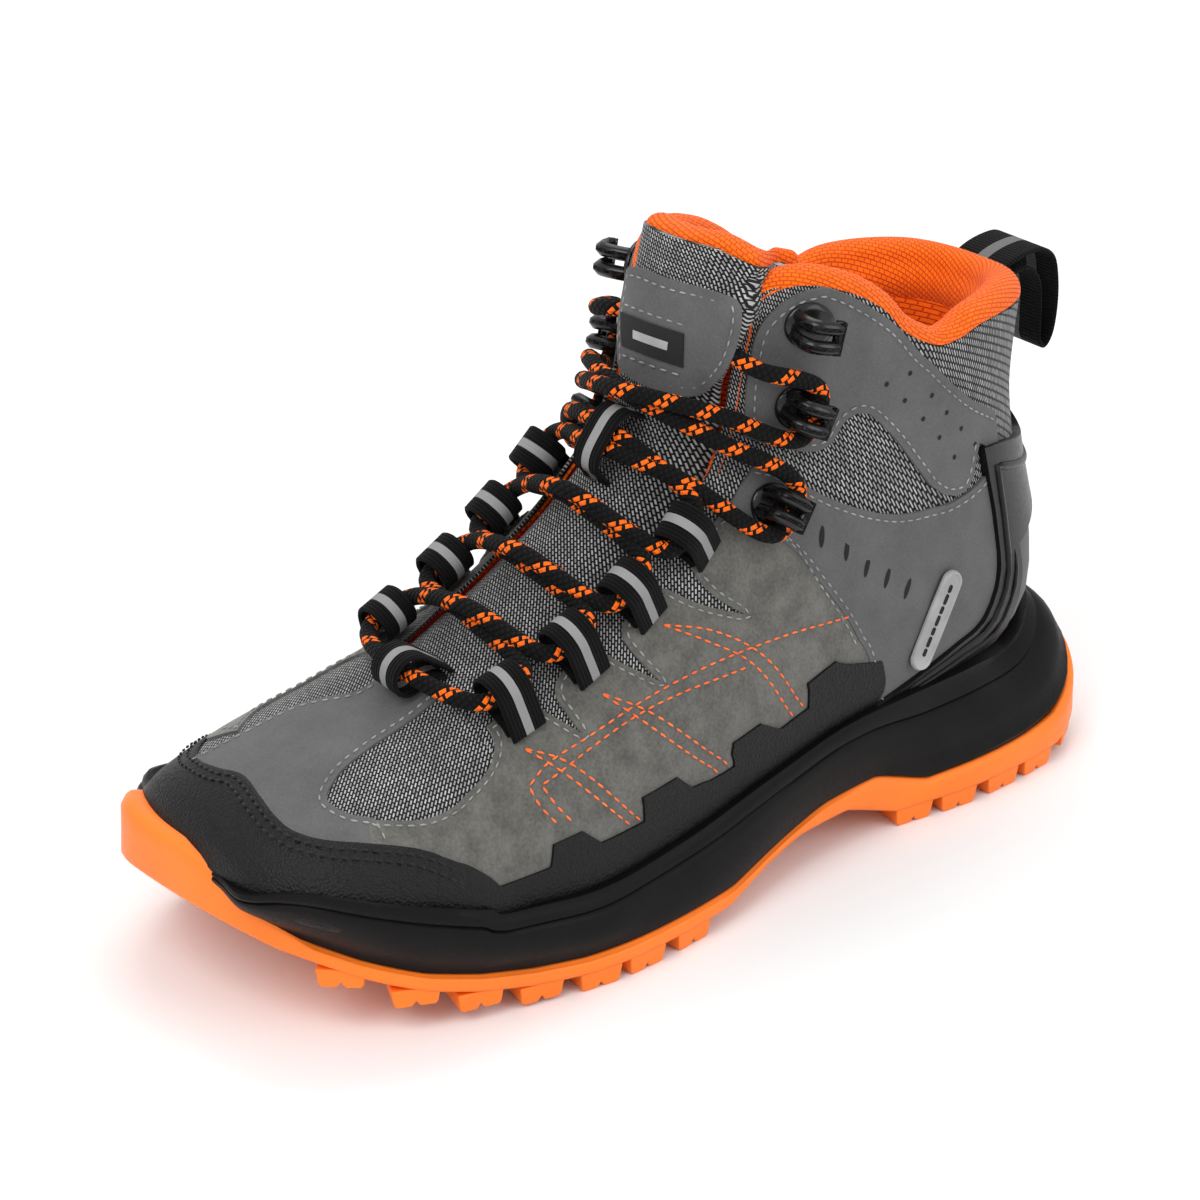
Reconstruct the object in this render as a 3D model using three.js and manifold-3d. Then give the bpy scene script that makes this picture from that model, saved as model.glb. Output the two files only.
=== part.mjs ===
// A mid-height left hiking boot, as separate pieces in millimetres.
// +Z is up, the toe points to -Y and the outer (lateral) side is +X. The origin is on the ground.
import * as THREE from 'three';
import { mergeVertices } from 'three/addons/utils/BufferGeometryUtils.js';
import Module from 'manifold-3d';

const wasm = await Module();
wasm.setup();

// Driving dimensions. The pattern is drawn at one size and graded to the boot's size.
const pattern = { length: 302, width: 118, height: 178 };
const boot = { length: 302, width: 118, height: 178 };
const gap = 0.3;
const layerGap = 0.55;
const layer = {
  lining: 1.2,
  stiffener: 1.0,
  textile: 1.2,
  overlay: 1.2,
  rand: 0.9,
  collarPad: 5.5,
  tonguePad: 6.5,
  insoleBoard: 1.8,
  shank: 1.2,
  filler: 1.6,
  footbed: 4.5,
  footbedPlay: 1.2,
};
const sole = { lugHeight: 5, plate: 5.5, bumperWall: 3.4, bumperTop: 48 };
const lace = { radius: 2.3, sides: 8, steps: 104, aglet: 20, agletRadius: 2.7 };
const loop = { width: 9, web: 1.5, hole: 4.6, tail: 6.5, height: 0.7 };
const keeper = { s: 1.58, width: 6.5, web: 1.4, eyeWidth: 17, eyeHeight: 7.4 };
const hook = { plate: 14, plateThickness: 1.6, width: 8.5, throat: 7.4, wall: 2.4, rivetRadius: 1.8 };
const tab = { width: 20 };
const badge = { length: 30, width: 7, thickness: 1.2 };

const grade = {
  x: boot.width / pattern.width,
  y: boot.length / pattern.length,
  z: boot.height / pattern.height,
};

// ---- The last: a surface that every piece of the upper is cut from ----
// s runs from the toe (0) along the foot (1) and fans up to the collar (2).
// v is 0 on the instep line, +1 or -1 at the sole or the back of the heel, and positive is lateral.
const pivot = { y: -90, z: 186 };
const toeTip = -147;
const instepLine = [
  [-147, 44], [-145, 51], [-137, 58], [-122, 63.5], [-104, 68.5], [-86, 74], [-70, 81], [-52, 91],
  [-35, 103], [-19, 117], [-7, 132], [1, 148], [6, 163], [10, 178], [12, 186],
];
const soleLine = [
  [-147, 44], [-145, 38], [-138, 34], [-125, 28.5], [-110, 24.5], [-95, 21.5], [-80, 20], [-60, 19], [0, 22], [60, 27], [110, 29],
  [128, 32], [137, 42], [139, 58], [136, 78], [132, 98], [131, 118], [134, 140], [137, 160], [139, 186],
];
const lateralWidth = [
  [0, 0], [0.12, 19], [0.3, 33], [0.55, 45], [0.8, 51], [1, 53], [1.12, 53.5], [1.25, 51], [1.38, 47],
  [1.5, 43], [1.62, 39], [1.74, 36.5], [1.86, 37], [2, 38],
];
const medialWidth = [
  [0, 0], [0.12, 19], [0.3, 35], [0.55, 46], [0.8, 51], [1, 51], [1.12, 49], [1.25, 45.5], [1.38, 42.5],
  [1.5, 40], [1.62, 38], [1.74, 36], [1.86, 36.5], [2, 37.5],
];
const widestAt = [
  [0, 0.62], [0.3, 0.66], [0.8, 0.72], [1, 0.74], [1.2, 0.72], [1.4, 0.66], [1.6, 0.6], [1.8, 0.55], [2, 0.52],
];
const topPower = [
  [0, 2], [0.3, 2], [0.8, 2.05], [1, 2.05], [1.2, 1.9], [1.4, 1.85], [1.6, 2.05], [1.8, 2.3], [2, 2.4],
];
const bottomPower = [
  [0, 2.4], [0.3, 3], [0.8, 4], [1, 4.2], [1.2, 4], [1.4, 3.4], [1.6, 2.6], [1.8, 2.2], [2, 2.2],
];

function slopeAt(points, i) {
  const a = points[Math.max(i - 1, 0)];
  const b = points[Math.min(i + 1, points.length - 1)];
  if (i === 0 || i === points.length - 1) return (b[1] - a[1]) / (b[0] - a[0]);
  const before = points[i][0] - a[0];
  const after = b[0] - points[i][0];
  const left = (points[i][1] - a[1]) / before;
  const right = (b[1] - points[i][1]) / after;
  return (left * after + right * before) / (before + after);
}

// A smooth function through the points of a table.
function smooth(points, x) {
  const last = points.length - 1;
  if (x <= points[0][0]) return points[0][1];
  if (x >= points[last][0]) return points[last][1];
  let i = 0;
  while (points[i + 1][0] <= x) i += 1;
  const span = points[i + 1][0] - points[i][0];
  const t = (x - points[i][0]) / span;
  const rise = t * t * (3 - 2 * t);
  const start = (t * t * t - 2 * t * t + t) * span * slopeAt(points, i);
  const end = (t * t * t - t * t) * span * slopeAt(points, i + 1);
  return points[i][1] * (1 - rise) + points[i + 1][1] * rise + start + end;
}

// Straight runs between the points of a table.
function straight(points, x) {
  const last = points.length - 1;
  if (x <= points[0][0]) return points[0][1];
  if (x >= points[last][0]) return points[last][1];
  let i = 0;
  while (points[i + 1][0] <= x) i += 1;
  const t = (x - points[i][0]) / (points[i + 1][0] - points[i][0]);
  return points[i][1] * (1 - t) + points[i + 1][1] * t;
}

// A profile line as many short chords, with the angle and distance of each point from the pivot.
function traced(line) {
  const reach = [[0]];
  line.forEach((p, i) => {
    if (i > 0) reach.push([reach[i - 1][0] + Math.hypot(p[0] - line[i - 1][0], p[1] - line[i - 1][1])]);
  });
  const ys = line.map((p, i) => [reach[i][0], p[0]]);
  const zs = line.map((p, i) => [reach[i][0], p[1]]);
  const total = reach[line.length - 1][0];
  const chords = 500;
  const points = [];
  for (let i = 0; i <= chords; i += 1) {
    const d = (total * i) / chords;
    points.push([smooth(ys, d), smooth(zs, d)]);
  }
  return points;
}

function polar(points) {
  return points
    .filter((p) => p[0] > pivot.y - 5)
    .map((p) => [Math.atan2(p[0] - pivot.y, pivot.z - p[1]), Math.hypot(p[0] - pivot.y, pivot.z - p[1])])
    .sort((a, b) => a[0] - b[0]);
}

const instep = traced(instepLine);
const under = traced(soleLine);
const instepPolar = polar(instep);
const underPolar = polar(under);
const underToe = under.filter((p) => p[0] < 0 && p[1] < 44.5);

// The section plane at s: its instep point and its sole or heel point, as [y, z].
function section(s) {
  if (s <= 1) {
    const y = toeTip + (pivot.y - toeTip) * (1 - Math.cos((s * Math.PI) / 2));
    return [[y, straight(instep, y)], [y, straight(underToe, y)]];
  }
  const angle = ((s - 1) * Math.PI) / 2;
  return [instepPolar, underPolar].map((line) => {
    const r = straight(line, angle);
    return [pivot.y + r * Math.sin(angle), pivot.z - r * Math.cos(angle)];
  });
}

function lastPoint(s, around) {
  let v = around;
  if (v > 1) v -= 2;
  if (v < -1) v += 2;
  const [top, bottom] = section(s);
  const widest = smooth(widestAt, s);
  const half = smooth(v >= 0 ? lateralWidth : medialWidth, s);
  const cos = Math.cos(Math.abs(v) * Math.PI);
  const sin = Math.abs(Math.sin(Math.abs(v) * Math.PI));
  const power = 2 / smooth(cos >= 0 ? topPower : bottomPower, s);
  const down = cos >= 0 ? widest * (1 - cos ** power) : widest + (1 - widest) * (-cos) ** power;
  const x = half * sin ** power * (v < 0 ? -1 : 1);
  return new THREE.Vector3(
    x * grade.x,
    (top[0] + (bottom[0] - top[0]) * down) * grade.y,
    (top[1] + (bottom[1] - top[1]) * down) * grade.z,
  );
}

function lastNormal(s, v) {
  const ds = 0.006;
  const dv = 0.006;
  const alongS = lastPoint(Math.min(s + ds, 2), v).sub(lastPoint(Math.max(s - ds, 0.01), v));
  const alongV = lastPoint(s, v + dv).sub(lastPoint(s, v - dv));
  return alongV.cross(alongS).normalize();
}

// A point at a height above (+) or under (-) the outer face of the overlays.
function onLast(s, v, lift) {
  return lastPoint(s, v).addScaledVector(lastNormal(s, v), lift);
}

// ---- Solids ----
function geometryOf(points, faces) {
  const geometry = new THREE.BufferGeometry();
  geometry.setAttribute('position', new THREE.Float32BufferAttribute(points.flatMap((p) => [p.x, p.y, p.z]), 3));
  geometry.setIndex(faces.flat());
  return facedOut(geometry);
}

function facedOut(geometry) {
  const p = geometry.attributes.position;
  const index = geometry.index.array;
  const [a, b, c] = [new THREE.Vector3(), new THREE.Vector3(), new THREE.Vector3()];
  let volume = 0;
  for (let i = 0; i < index.length; i += 3) {
    a.fromBufferAttribute(p, index[i]);
    b.fromBufferAttribute(p, index[i + 1]);
    c.fromBufferAttribute(p, index[i + 2]);
    volume += a.dot(b.cross(c));
  }
  if (volume < 0) {
    for (let i = 0; i < index.length; i += 3) [index[i + 1], index[i + 2]] = [index[i + 2], index[i + 1]];
  }
  return geometry;
}

function solid(geometry) {
  const bare = geometry.clone();
  bare.deleteAttribute('normal');
  bare.deleteAttribute('uv');
  const merged = mergeVertices(bare, 1e-4);
  return new wasm.Manifold(new wasm.Mesh({
    numProp: 3,
    vertProperties: new Float32Array(merged.attributes.position.array),
    triVerts: new Uint32Array(merged.index.array),
  }));
}

function fromSolid(body) {
  const mesh = body.getMesh();
  const geometry = new THREE.BufferGeometry();
  geometry.setAttribute('position', new THREE.BufferAttribute(new Float32Array(mesh.vertProperties), 3));
  geometry.setIndex(new THREE.BufferAttribute(new Uint32Array(mesh.triVerts), 1));
  return geometry;
}

// A panel of even thickness on the last, between two edges of a strip of it.
// cut.at(t, u) gives [s, v] for t and u from 0 to 1.
function panel(cut) {
  const points = [];
  const { steps, across } = cut;
  for (const lift of [cut.outer, cut.inner]) {
    for (let i = 0; i <= steps; i += 1) {
      for (let j = 0; j <= across; j += 1) {
        const [s, v] = cut.at(i / steps, j / across);
        points.push(onLast(s, v, typeof lift === 'function' ? lift(s, v) : lift));
      }
    }
  }
  const row = across + 1;
  const sheet = (steps + 1) * row;
  const faces = [];
  const quad = (a, b, c, d) => faces.push([a, b, c], [a, c, d]);
  for (let i = 0; i < steps; i += 1) {
    for (let j = 0; j < across; j += 1) {
      const a = i * row + j;
      quad(a, a + 1, a + row + 1, a + row);
      quad(sheet + a, sheet + a + row, sheet + a + row + 1, sheet + a + 1);
    }
  }
  for (let j = 0; j < across; j += 1) {
    const end = steps * row + j;
    quad(j, sheet + j, sheet + j + 1, j + 1);
    quad(end, end + 1, sheet + end + 1, sheet + end);
  }
  for (let i = 0; i < steps; i += 1) {
    const a = i * row;
    const b = a + across;
    quad(a, a + row, sheet + a + row, sheet + a);
    quad(b, sheet + b, sheet + b + row, b + row);
  }
  return geometryOf(points, faces);
}

// Strips that run along s, with their two edges given as v at each s.
function alongFoot(from, to, low, high, edge = smooth) {
  return (t, u) => {
    const s = from + (to - from) * t;
    const a = edge(low, s);
    return [s, a + (edge(high, s) - a) * u];
  };
}

// Strips that run around the foot, with their two edges given as s at each v.
function aroundFoot(from, to, low, high, edge = smooth) {
  return (t, u) => {
    const v = from + (to - from) * t;
    const a = edge(low, v);
    return [a + (edge(high, v) - a) * u, v];
  };
}

// The instep line that the lacing is centred on lies a little lateral of v = 0.
const laceLine = 0.03;

// The same cut on the medial side.
function medial(at) {
  return (t, u) => {
    const [s, v] = at(t, u);
    const share = THREE.MathUtils.clamp((0.5 - v) / 0.3, 0, 1);
    return [s, -v + 2 * laceLine * share];
  };
}

// Sections joined one after the other, with a flat cap at each end.
function loft(sections) {
  const points = sections.flat();
  const n = sections[0].length;
  const faces = [];
  for (let i = 0; i + 1 < sections.length; i += 1) {
    for (let j = 0; j < n; j += 1) {
      const a = i * n + j;
      const b = i * n + ((j + 1) % n);
      faces.push([a, b, b + n], [a, b + n, a + n]);
    }
  }
  const start = (sections.length - 1) * n;
  for (let j = 1; j + 1 < n; j += 1) {
    faces.push([0, j + 1, j]);
    faces.push([start, start + j, start + j + 1]);
  }
  return geometryOf(points, faces);
}

// ---- Heights of the layers, from the outer face of the overlays inwards ----
const lift = {};
lift.overlay = [-layer.overlay, 0];
lift.textile = [lift.overlay[0] - layerGap - layer.textile, lift.overlay[0] - layerGap];
lift.stiffener = [lift.textile[0] - layerGap - layer.stiffener, lift.textile[0] - layerGap];
lift.lining = [lift.stiffener[0] - layerGap - layer.lining, lift.stiffener[0] - layerGap];
lift.rand = [layerGap + 0.2, layerGap + 0.2 + layer.rand];
lift.filler = [lift.overlay[0], lift.overlay[0] + layer.filler];
lift.shank = [lift.filler[0] - gap - layer.shank, lift.filler[0] - gap];
lift.board = [lift.shank[0] - gap - layer.insoleBoard, lift.shank[0] - gap];
lift.footbed = [lift.board[0] - layer.footbedPlay - layer.footbed, lift.board[0] - layer.footbedPlay];
lift.midsole = lift.rand[1] + layerGap;

// ---- The sole ----
const soleLateral = [
  [-151, -18], [-150, -4], [-147, 9], [-141, 22], [-131, 34], [-118, 45], [-100, 52], [-80, 56], [-60, 59.5],
  [-48, 60], [-20, 57], [20, 48], [55, 45], [87, 48], [115, 46], [128, 43], [141, 34], [147, 25], [150, 14], [151, 0],
];
const soleMedial = [
  [-151, -18], [-150, -30], [-144, -41], [-125, -54], [-95, -59], [-60, -56], [-20, -45], [20, -37],
  [60, -39], [100, -44], [132, -40], [143, -30], [148, -22], [150, -13], [151, 0],
];
const toeSpring = [[-151, 27], [-140, 20], [-125, 13], [-110, 7.5], [-95, 3.8], [-80, 1.2], [-65, 0], [151, 0]];
const heelLift = [[-151, 0], [126, 0], [140, 3], [151, 8]];
const archRise = [[-151, 0], [-12, 0], [4, 4.5], [20, 7.5], [40, 7.5], [52, 3], [60, 0], [151, 0]];
const rimRise = [[-151, 0], [-10, 0], [30, 8], [52, 9], [70, 2.5], [110, 3.5], [138, 5], [151, 11]];

function groundAt(y) {
  return straight(toeSpring, y) + straight(heelLift, y);
}

function rimAt(y) {
  return groundAt(y) + sole.lugHeight + sole.plate + straight(rimRise, y);
}

const soleStations = [];
const soleSteps = 28;
for (let i = 0; i <= soleSteps; i += 1) {
  const t = i / soleSteps;
  soleStations.push(0.35 * THREE.MathUtils.lerp(-150.6, 150.6, t) - 0.65 * 150.6 * Math.cos(t * Math.PI));
}

function plateSection(y, low, high, bulge, grow = 0) {
  const lateral = smooth(soleLateral, y) + grow;
  const inner = smooth(soleMedial, y) - grow;
  const middle = (lateral + inner) / 2;
  const knee = low + (high - low) * 0.4;
  const at = (x, z) => new THREE.Vector3(x * grade.x, y * grade.y, z);
  return [
    at(inner + bulge, low), at(middle, low), at(lateral - bulge, low), at(lateral, knee),
    at(lateral, high), at(middle, high), at(inner, high), at(inner, knee),
  ];
}

function treadPlate() {
  return loft(soleStations.map((y) => {
    const low = groundAt(y) + sole.lugHeight + straight(archRise, y);
    return plateSection(y, low, rimAt(y) - gap, 1.6);
  }));
}

// One lug: a block with a notch in its outer face.
function lug(y, side, reach, length) {
  const edge = side > 0 ? smooth(soleLateral, y) - 1.8 : smooth(soleMedial, y) + 1.8;
  const outline = new THREE.Shape([
    [0, -length / 2], [-reach * 0.75, -length / 2 + 1], [-reach, 0], [-reach * 0.75, length / 2 - 1],
    [0, length / 2], [-2.6, 0],
  ].map(([x, along]) => new THREE.Vector2(x * side, along)));
  const height = sole.lugHeight + sole.plate * 0.4;
  const block = new THREE.ExtrudeGeometry(outline, { depth: height, bevelEnabled: false });
  block.translate(edge * grade.x, y * grade.y, groundAt(y));
  return block;
}

// The toe bumper: a wall that stands on the tread around the toe.
const bumperLine = [
  [-56, -118, 0], [-50, -132, 0.35], [-43, -141, 0.85], [-33, -147, 1], [-19, -150.6, 1], [-6, -149.4, 1],
  [6, -146.6, 0.75], [17, -143, 0.3], [29, -135, 0],
];

function bumper(grow) {
  const middle = { x: -12, y: -110 };
  return loft(bumperLine.map(([x, y, rise]) => {
    const foot = groundAt(y) + sole.lugHeight + 1 - grow;
    const top = THREE.MathUtils.lerp(rimAt(y) + 1, sole.bumperTop, rise) + grow;
    const away = new THREE.Vector2(x - middle.x, y - middle.y).normalize();
    const at = (inset, z) => new THREE.Vector3(
      (x - away.x * (inset - grow)) * grade.x,
      (y - away.y * (inset - grow)) * grade.y,
      z,
    );
    const depth = sole.bumperWall + 9;
    return [at(1, foot), at(0, foot + (top - foot) * 0.4), at(1.2, top), at(depth + 2 * grow, top), at(depth + 2 * grow, foot)];
  }));
}

const lastRows = [[0, 0.05], [0.45, 1.42], [0.62, 1.58], [0.85, 1.72], [1, 1.95]];

// The whole last as a closed body, used to hollow the sole to fit the upper.
function lastBody(height) {
  const rings = [];
  const stations = 32;
  const around = 32;
  for (let i = 0; i <= stations; i += 1) {
    const s = straight(lastRows, i / stations);
    const ring = [];
    for (let j = 0; j < around; j += 1) ring.push(onLast(s, -1 + (2 * j) / around, height));
    rings.push(ring);
  }
  return loft(rings);
}

const wallEdge = [
  [0.3, 0.4], [0.53, 0.43], [0.72, 0.465], [1.04, 0.525], [1.11, 0.555], [1.22, 0.575], [1.34, 0.585],
  [1.44, 0.6], [1.5, 0.63], [1.55, 0.68],
];
const cupEdge = [
  [0.64, 1.57], [0.7, 1.615], [0.76, 1.65], [0.88, 1.67], [1, 1.678], [1.12, 1.67], [1.24, 1.65], [1.3, 1.615],
  [1.36, 1.57],
];
const midsoleWall = [lift.overlay[1], lift.midsole + 3];

function midsoleBody() {
  const bed = loft(soleStations.map((y) => {
    const high = Math.max(rimAt(y) + 4, 24 + Math.max(0, (y + 20) * 0.06));
    return plateSection(y, rimAt(y), high, 0);
  }));
  const wall = alongFoot(0.3, 1.54, wallEdge, [[0, 0.84], [2, 0.84]]);
  const sides = [wall, (t, u) => { const [s, v] = wall(t, u); return [s, -v]; }];
  let body = solid(bed);
  sides.forEach((at) => {
    body = body.add(solid(panel({ at, steps: 22, across: 4, inner: midsoleWall[0], outer: midsoleWall[1] })));
  });
  const cup = aroundFoot(0.64, 1.36, [[0, 1.38], [2, 1.38]], cupEdge);
  body = body.add(solid(panel({ at: cup, steps: 16, across: 5, inner: midsoleWall[0], outer: midsoleWall[1] + 1 })));
  return body;
}

const lastRoom = solid(lastBody(lift.midsole));
const lateralLugs = [-129, -112, -95, -78, -61, -44, -27, 66, 83, 100, 117, 134];
const medialLugs = [-131, -114, -97, -80, -63, -46, -29, 64, 81, 98, 115, 132];

function outsole() {
  let body = solid(treadPlate()).add(solid(bumper(0)).subtract(lastRoom));
  lateralLugs.forEach((y) => { body = body.add(solid(lug(y, 1, 20, 11.5))); });
  medialLugs.forEach((y) => { body = body.add(solid(lug(y, -1, 20, 11.5))); });
  return fromSolid(body);
}

function midsole() {
  const treadRoom = loft(soleStations.map((y) => plateSection(y, -sole.lugHeight, rimAt(y), 0, 15)));
  const body = midsoleBody().subtract(lastRoom).subtract(solid(bumper(3 * gap))).subtract(solid(treadRoom));
  return fromSolid(body.decompose().sort((a, b) => b.volume() - a.volume())[0]);
}

// ---- The boot ----
const finishes = {
  orangeRubber: { color: 0xff7a26, roughness: 0.6, metalness: 0 },
  blackFoam: { color: 0x1c1c1d, roughness: 0.55, metalness: 0 },
  blackSatin: { color: 0x151516, roughness: 0.4, metalness: 0 },
  blackLeather: { color: 0x232222, roughness: 0.55, metalness: 0 },
  greyNubuck: { color: 0x5f5f60, roughness: 0.75, metalness: 0 },
  greySuede: { color: 0x6a6962, roughness: 0.95, metalness: 0 },
  darkMesh: { color: 0x4a4a4b, roughness: 0.9, metalness: 0 },
  orangeMesh: { color: 0xff5a12, roughness: 0.9, metalness: 0 },
  greyBoard: { color: 0x8f8b80, roughness: 0.9, metalness: 0 },
  foam: { color: 0xd8d3c4, roughness: 0.95, metalness: 0 },
  steel: { color: 0xb9bbbd, roughness: 0.35, metalness: 0.9 },
  webbing: { color: 0x19191a, roughness: 0.85, metalness: 0 },
  silver: { color: 0xb4b5b6, roughness: 0.4, metalness: 0.2 },
};

const part = new THREE.Group();
part.name = 'hiking_boot';

function place(name, geometry, finish) {
  const mesh = new THREE.Mesh(geometry, new THREE.MeshStandardMaterial(finishes[finish]));
  mesh.name = name;
  part.add(mesh);
}

// A lateral piece and its medial twin.
function pair(name, cut, finish) {
  place(`${name}_lateral`, panel(cut), finish);
  place(`${name}_medial`, panel({ ...cut, at: medial(cut.at) }), finish);
}

place('outsole', outsole(), 'orangeRubber');
place('midsole', midsole(), 'blackFoam');

// Bottom of the upper, from the ground up.
const flat = (v) => [[0, v], [2, v]];
place('bottom_filler', panel({
  at: alongFoot(0.2, 1.42, flat(0.84), flat(1.16)), steps: 16, across: 6, inner: lift.filler[0], outer: lift.filler[1],
}), 'greyBoard');
place('shank', panel({
  at: alongFoot(1.1, 1.42, flat(0.95), flat(1.05)), steps: 6, across: 2, inner: lift.shank[0], outer: lift.shank[1],
}), 'steel');
place('insole_board', panel({
  at: alongFoot(0.2, 1.44, flat(0.8), flat(1.2)), steps: 16, across: 6, inner: lift.board[0], outer: lift.board[1],
}), 'greyBoard');
place('footbed', panel({
  at: alongFoot(0.3, 1.42, flat(0.83), flat(1.17)), steps: 16, across: 6, inner: lift.footbed[0], outer: lift.footbed[1],
}), 'orangeMesh');

// Lining, stiffeners and padding.
const throatFront = 1.055;
const collarTop = [
  [0.19, 1.86], [0.22, 1.895], [0.265, 1.915], [0.32, 1.918], [0.365, 1.91], [0.4, 1.9], [0.443, 1.88],
  [0.476, 1.855], [0.515, 1.842], [0.555, 1.848], [0.6, 1.86], [0.75, 1.872], [1, 1.872],
];
const quarterFront = [[1.06, 0.155], [1.25, 0.17], [1.5, 0.19], [1.62, 0.212], [1.72, 0.22], [1.9, 0.22]];
const quarterBack = [[1.06, 0.78], [1.42, 0.78], [1.5, 0.86], [1.56, 0.998], [2, 0.998]];

// The quarter runs from the end of the vamp to the collar's top edge, and back to the heel seam.
const quarterRows = [[0, 1.065], [0.3, 1.5], [0.45, 1.58], [0.75, 1.72], [1, 1.87]];

function quarterCut(drop) {
  const from = quarterRows[0][1];
  return (turn, u) => {
    const guide = straight(quarterRows, turn);
    const t = (guide - from) / (1.87 - from);
    const front = straight(quarterFront, guide);
    const v = front + (straight(quarterBack, guide) - front) * u;
    return [from + (smooth(collarTop, v) - drop - from) * t, v];
  };
}

const padStart = 1.62;
const padFull = 1.7;
const padRamp = (s) => THREE.MathUtils.smoothstep(s, padStart, padFull);
const liningOuter = (s) => lift.lining[1] - layer.collarPad * padRamp(s);
const liningInner = (s) => lift.lining[0] - layer.collarPad * padRamp(s);

place('vamp_lining', panel({
  at: alongFoot(0.2, throatFront, flat(-0.76), flat(0.76)), steps: 7, across: 14,
  inner: lift.lining[0], outer: lift.lining[1],
}), 'orangeMesh');
pair('quarter_lining', {
  at: quarterCut(0), steps: 12, across: 8, inner: liningInner, outer: liningOuter,
}, 'orangeMesh');
const padLow = [[0.235, 1.7], [0.6, 1.7], [0.8, 1.75], [0.985, 1.775]];
pair('collar_pad', {
  at: aroundFoot(0.235, 0.985, padLow, collarTop.map(([v, s]) => [v, s - 0.02])), steps: 12, across: 4,
  inner: (s) => liningOuter(s) + 2 * layerGap, outer: lift.stiffener[0],
}, 'foam');
place('toe_puff', panel({
  at: aroundFoot(-0.6, 0.6, flat(0.24), [[-0.6, 0.75], [-0.2, 0.52], [0.1, 0.5], [0.3, 0.55], [0.6, 0.75]]),
  steps: 16, across: 4, inner: lift.stiffener[0], outer: lift.stiffener[1],
}), 'greyBoard');
place('heel_counter', panel({
  at: aroundFoot(0.62, 1.38, [[0.62, 1.6], [0.8, 1.64], [1, 1.675], [1.2, 1.64], [1.38, 1.6]],
    [[0.62, 1.68], [1, 1.745], [1.38, 1.68]]), steps: 12, across: 3,
  inner: lift.stiffener[0], outer: lift.stiffener[1] - 0.6,
}), 'greyBoard');

// Textile shell.
place('vamp_mesh', panel({
  at: alongFoot(0.2, throatFront, flat(-0.76), flat(0.76)), steps: 9, across: 20,
  inner: lift.textile[0], outer: lift.textile[1],
}), 'darkMesh');
pair('quarter_mesh', {
  at: quarterCut(0), steps: 16, across: 10, inner: lift.textile[0], outer: lift.textile[1],
}, 'darkMesh');

// Leather, suede and moulded overlays.
const toeCapEdge = [
  [-0.62, 1.04], [-0.46, 1], [-0.38, 0.86], [-0.3, 0.72], [-0.22, 0.56], [-0.1, 0.51], [-0.04, 0.53],
  [0.05, 0.49], [0.12, 0.465], [0.18, 0.475], [0.23, 0.54], [0.27, 0.65], [0.33, 0.82], [0.39, 0.92],
  [0.46, 1], [0.62, 1.04],
];
place('toe_cap', panel({
  at: aroundFoot(-0.62, 0.62, flat(0.14), toeCapEdge), steps: 26, across: 8,
  inner: lift.overlay[0], outer: lift.overlay[1],
}), 'blackLeather');
place('vamp_strip', panel({
  at: alongFoot(0.55, 1.05, [[0.5, -0.13], [0.6, -0.1], [0.7, -0.025], [1, -0.02], [1.05, -0.03]],
    [[0.5, 0.15], [0.6, 0.13], [0.7, 0.085], [1, 0.085], [1.05, 0.1]]), steps: 8, across: 3,
  inner: lift.overlay[0], outer: lift.overlay[1],
}), 'greyNubuck');
pair('quarter_suede', {
  at: alongFoot(1.06, 1.53, [[1.06, 0.28], [1.1, 0.2], [1.2, 0.215], [1.36, 0.235], [1.53, 0.255]],
    [[1.06, 0.58], [1.53, 0.58]]), steps: 13, across: 7,
  inner: lift.overlay[0], outer: lift.overlay[1],
}, 'greySuede');
pair('rand', {
  at: alongFoot(1.07, 1.5, [
    [1.07, 0.47], [1.085, 0.43], [1.125, 0.43], [1.145, 0.475], [1.2, 0.48], [1.215, 0.44], [1.265, 0.45],
    [1.285, 0.5], [1.335, 0.505], [1.35, 0.47], [1.39, 0.48], [1.41, 0.515], [1.45, 0.515], [1.46, 0.49], [1.5, 0.5],
  ], [[1.07, 0.63], [1.5, 0.63]], straight), steps: 24, across: 3, inner: lift.rand[0], outer: lift.rand[1],
}, 'blackSatin');
pair('ankle_strap', {
  at: aroundFoot(0.26, 0.6, [[0.26, 1.56], [0.33, 1.58], [0.41, 1.56], [0.46, 1.545], [0.6, 1.545]],
    [[0.26, 1.66], [0.33, 1.665], [0.6, 1.66]]), steps: 7, across: 2, inner: lift.overlay[0], outer: lift.overlay[1],
}, 'greyNubuck');
pair('collar_panel', {
  at: aroundFoot(0.225, 0.66, [
    [0.225, 1.68], [0.326, 1.685], [0.354, 1.702], [0.382, 1.732], [0.415, 1.748], [0.448, 1.732],
    [0.482, 1.702], [0.504, 1.69], [0.54, 1.69], [0.58, 1.74], [0.66, 1.74],
  ], [
    [0.225, 1.845], [0.27, 1.87], [0.298, 1.895], [0.331, 1.9], [0.365, 1.89], [0.448, 1.852],
    [0.515, 1.8], [0.588, 1.778], [0.66, 1.77],
  ]), steps: 12, across: 3, inner: lift.overlay[0], outer: lift.overlay[1],
}, 'greyNubuck');

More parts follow.
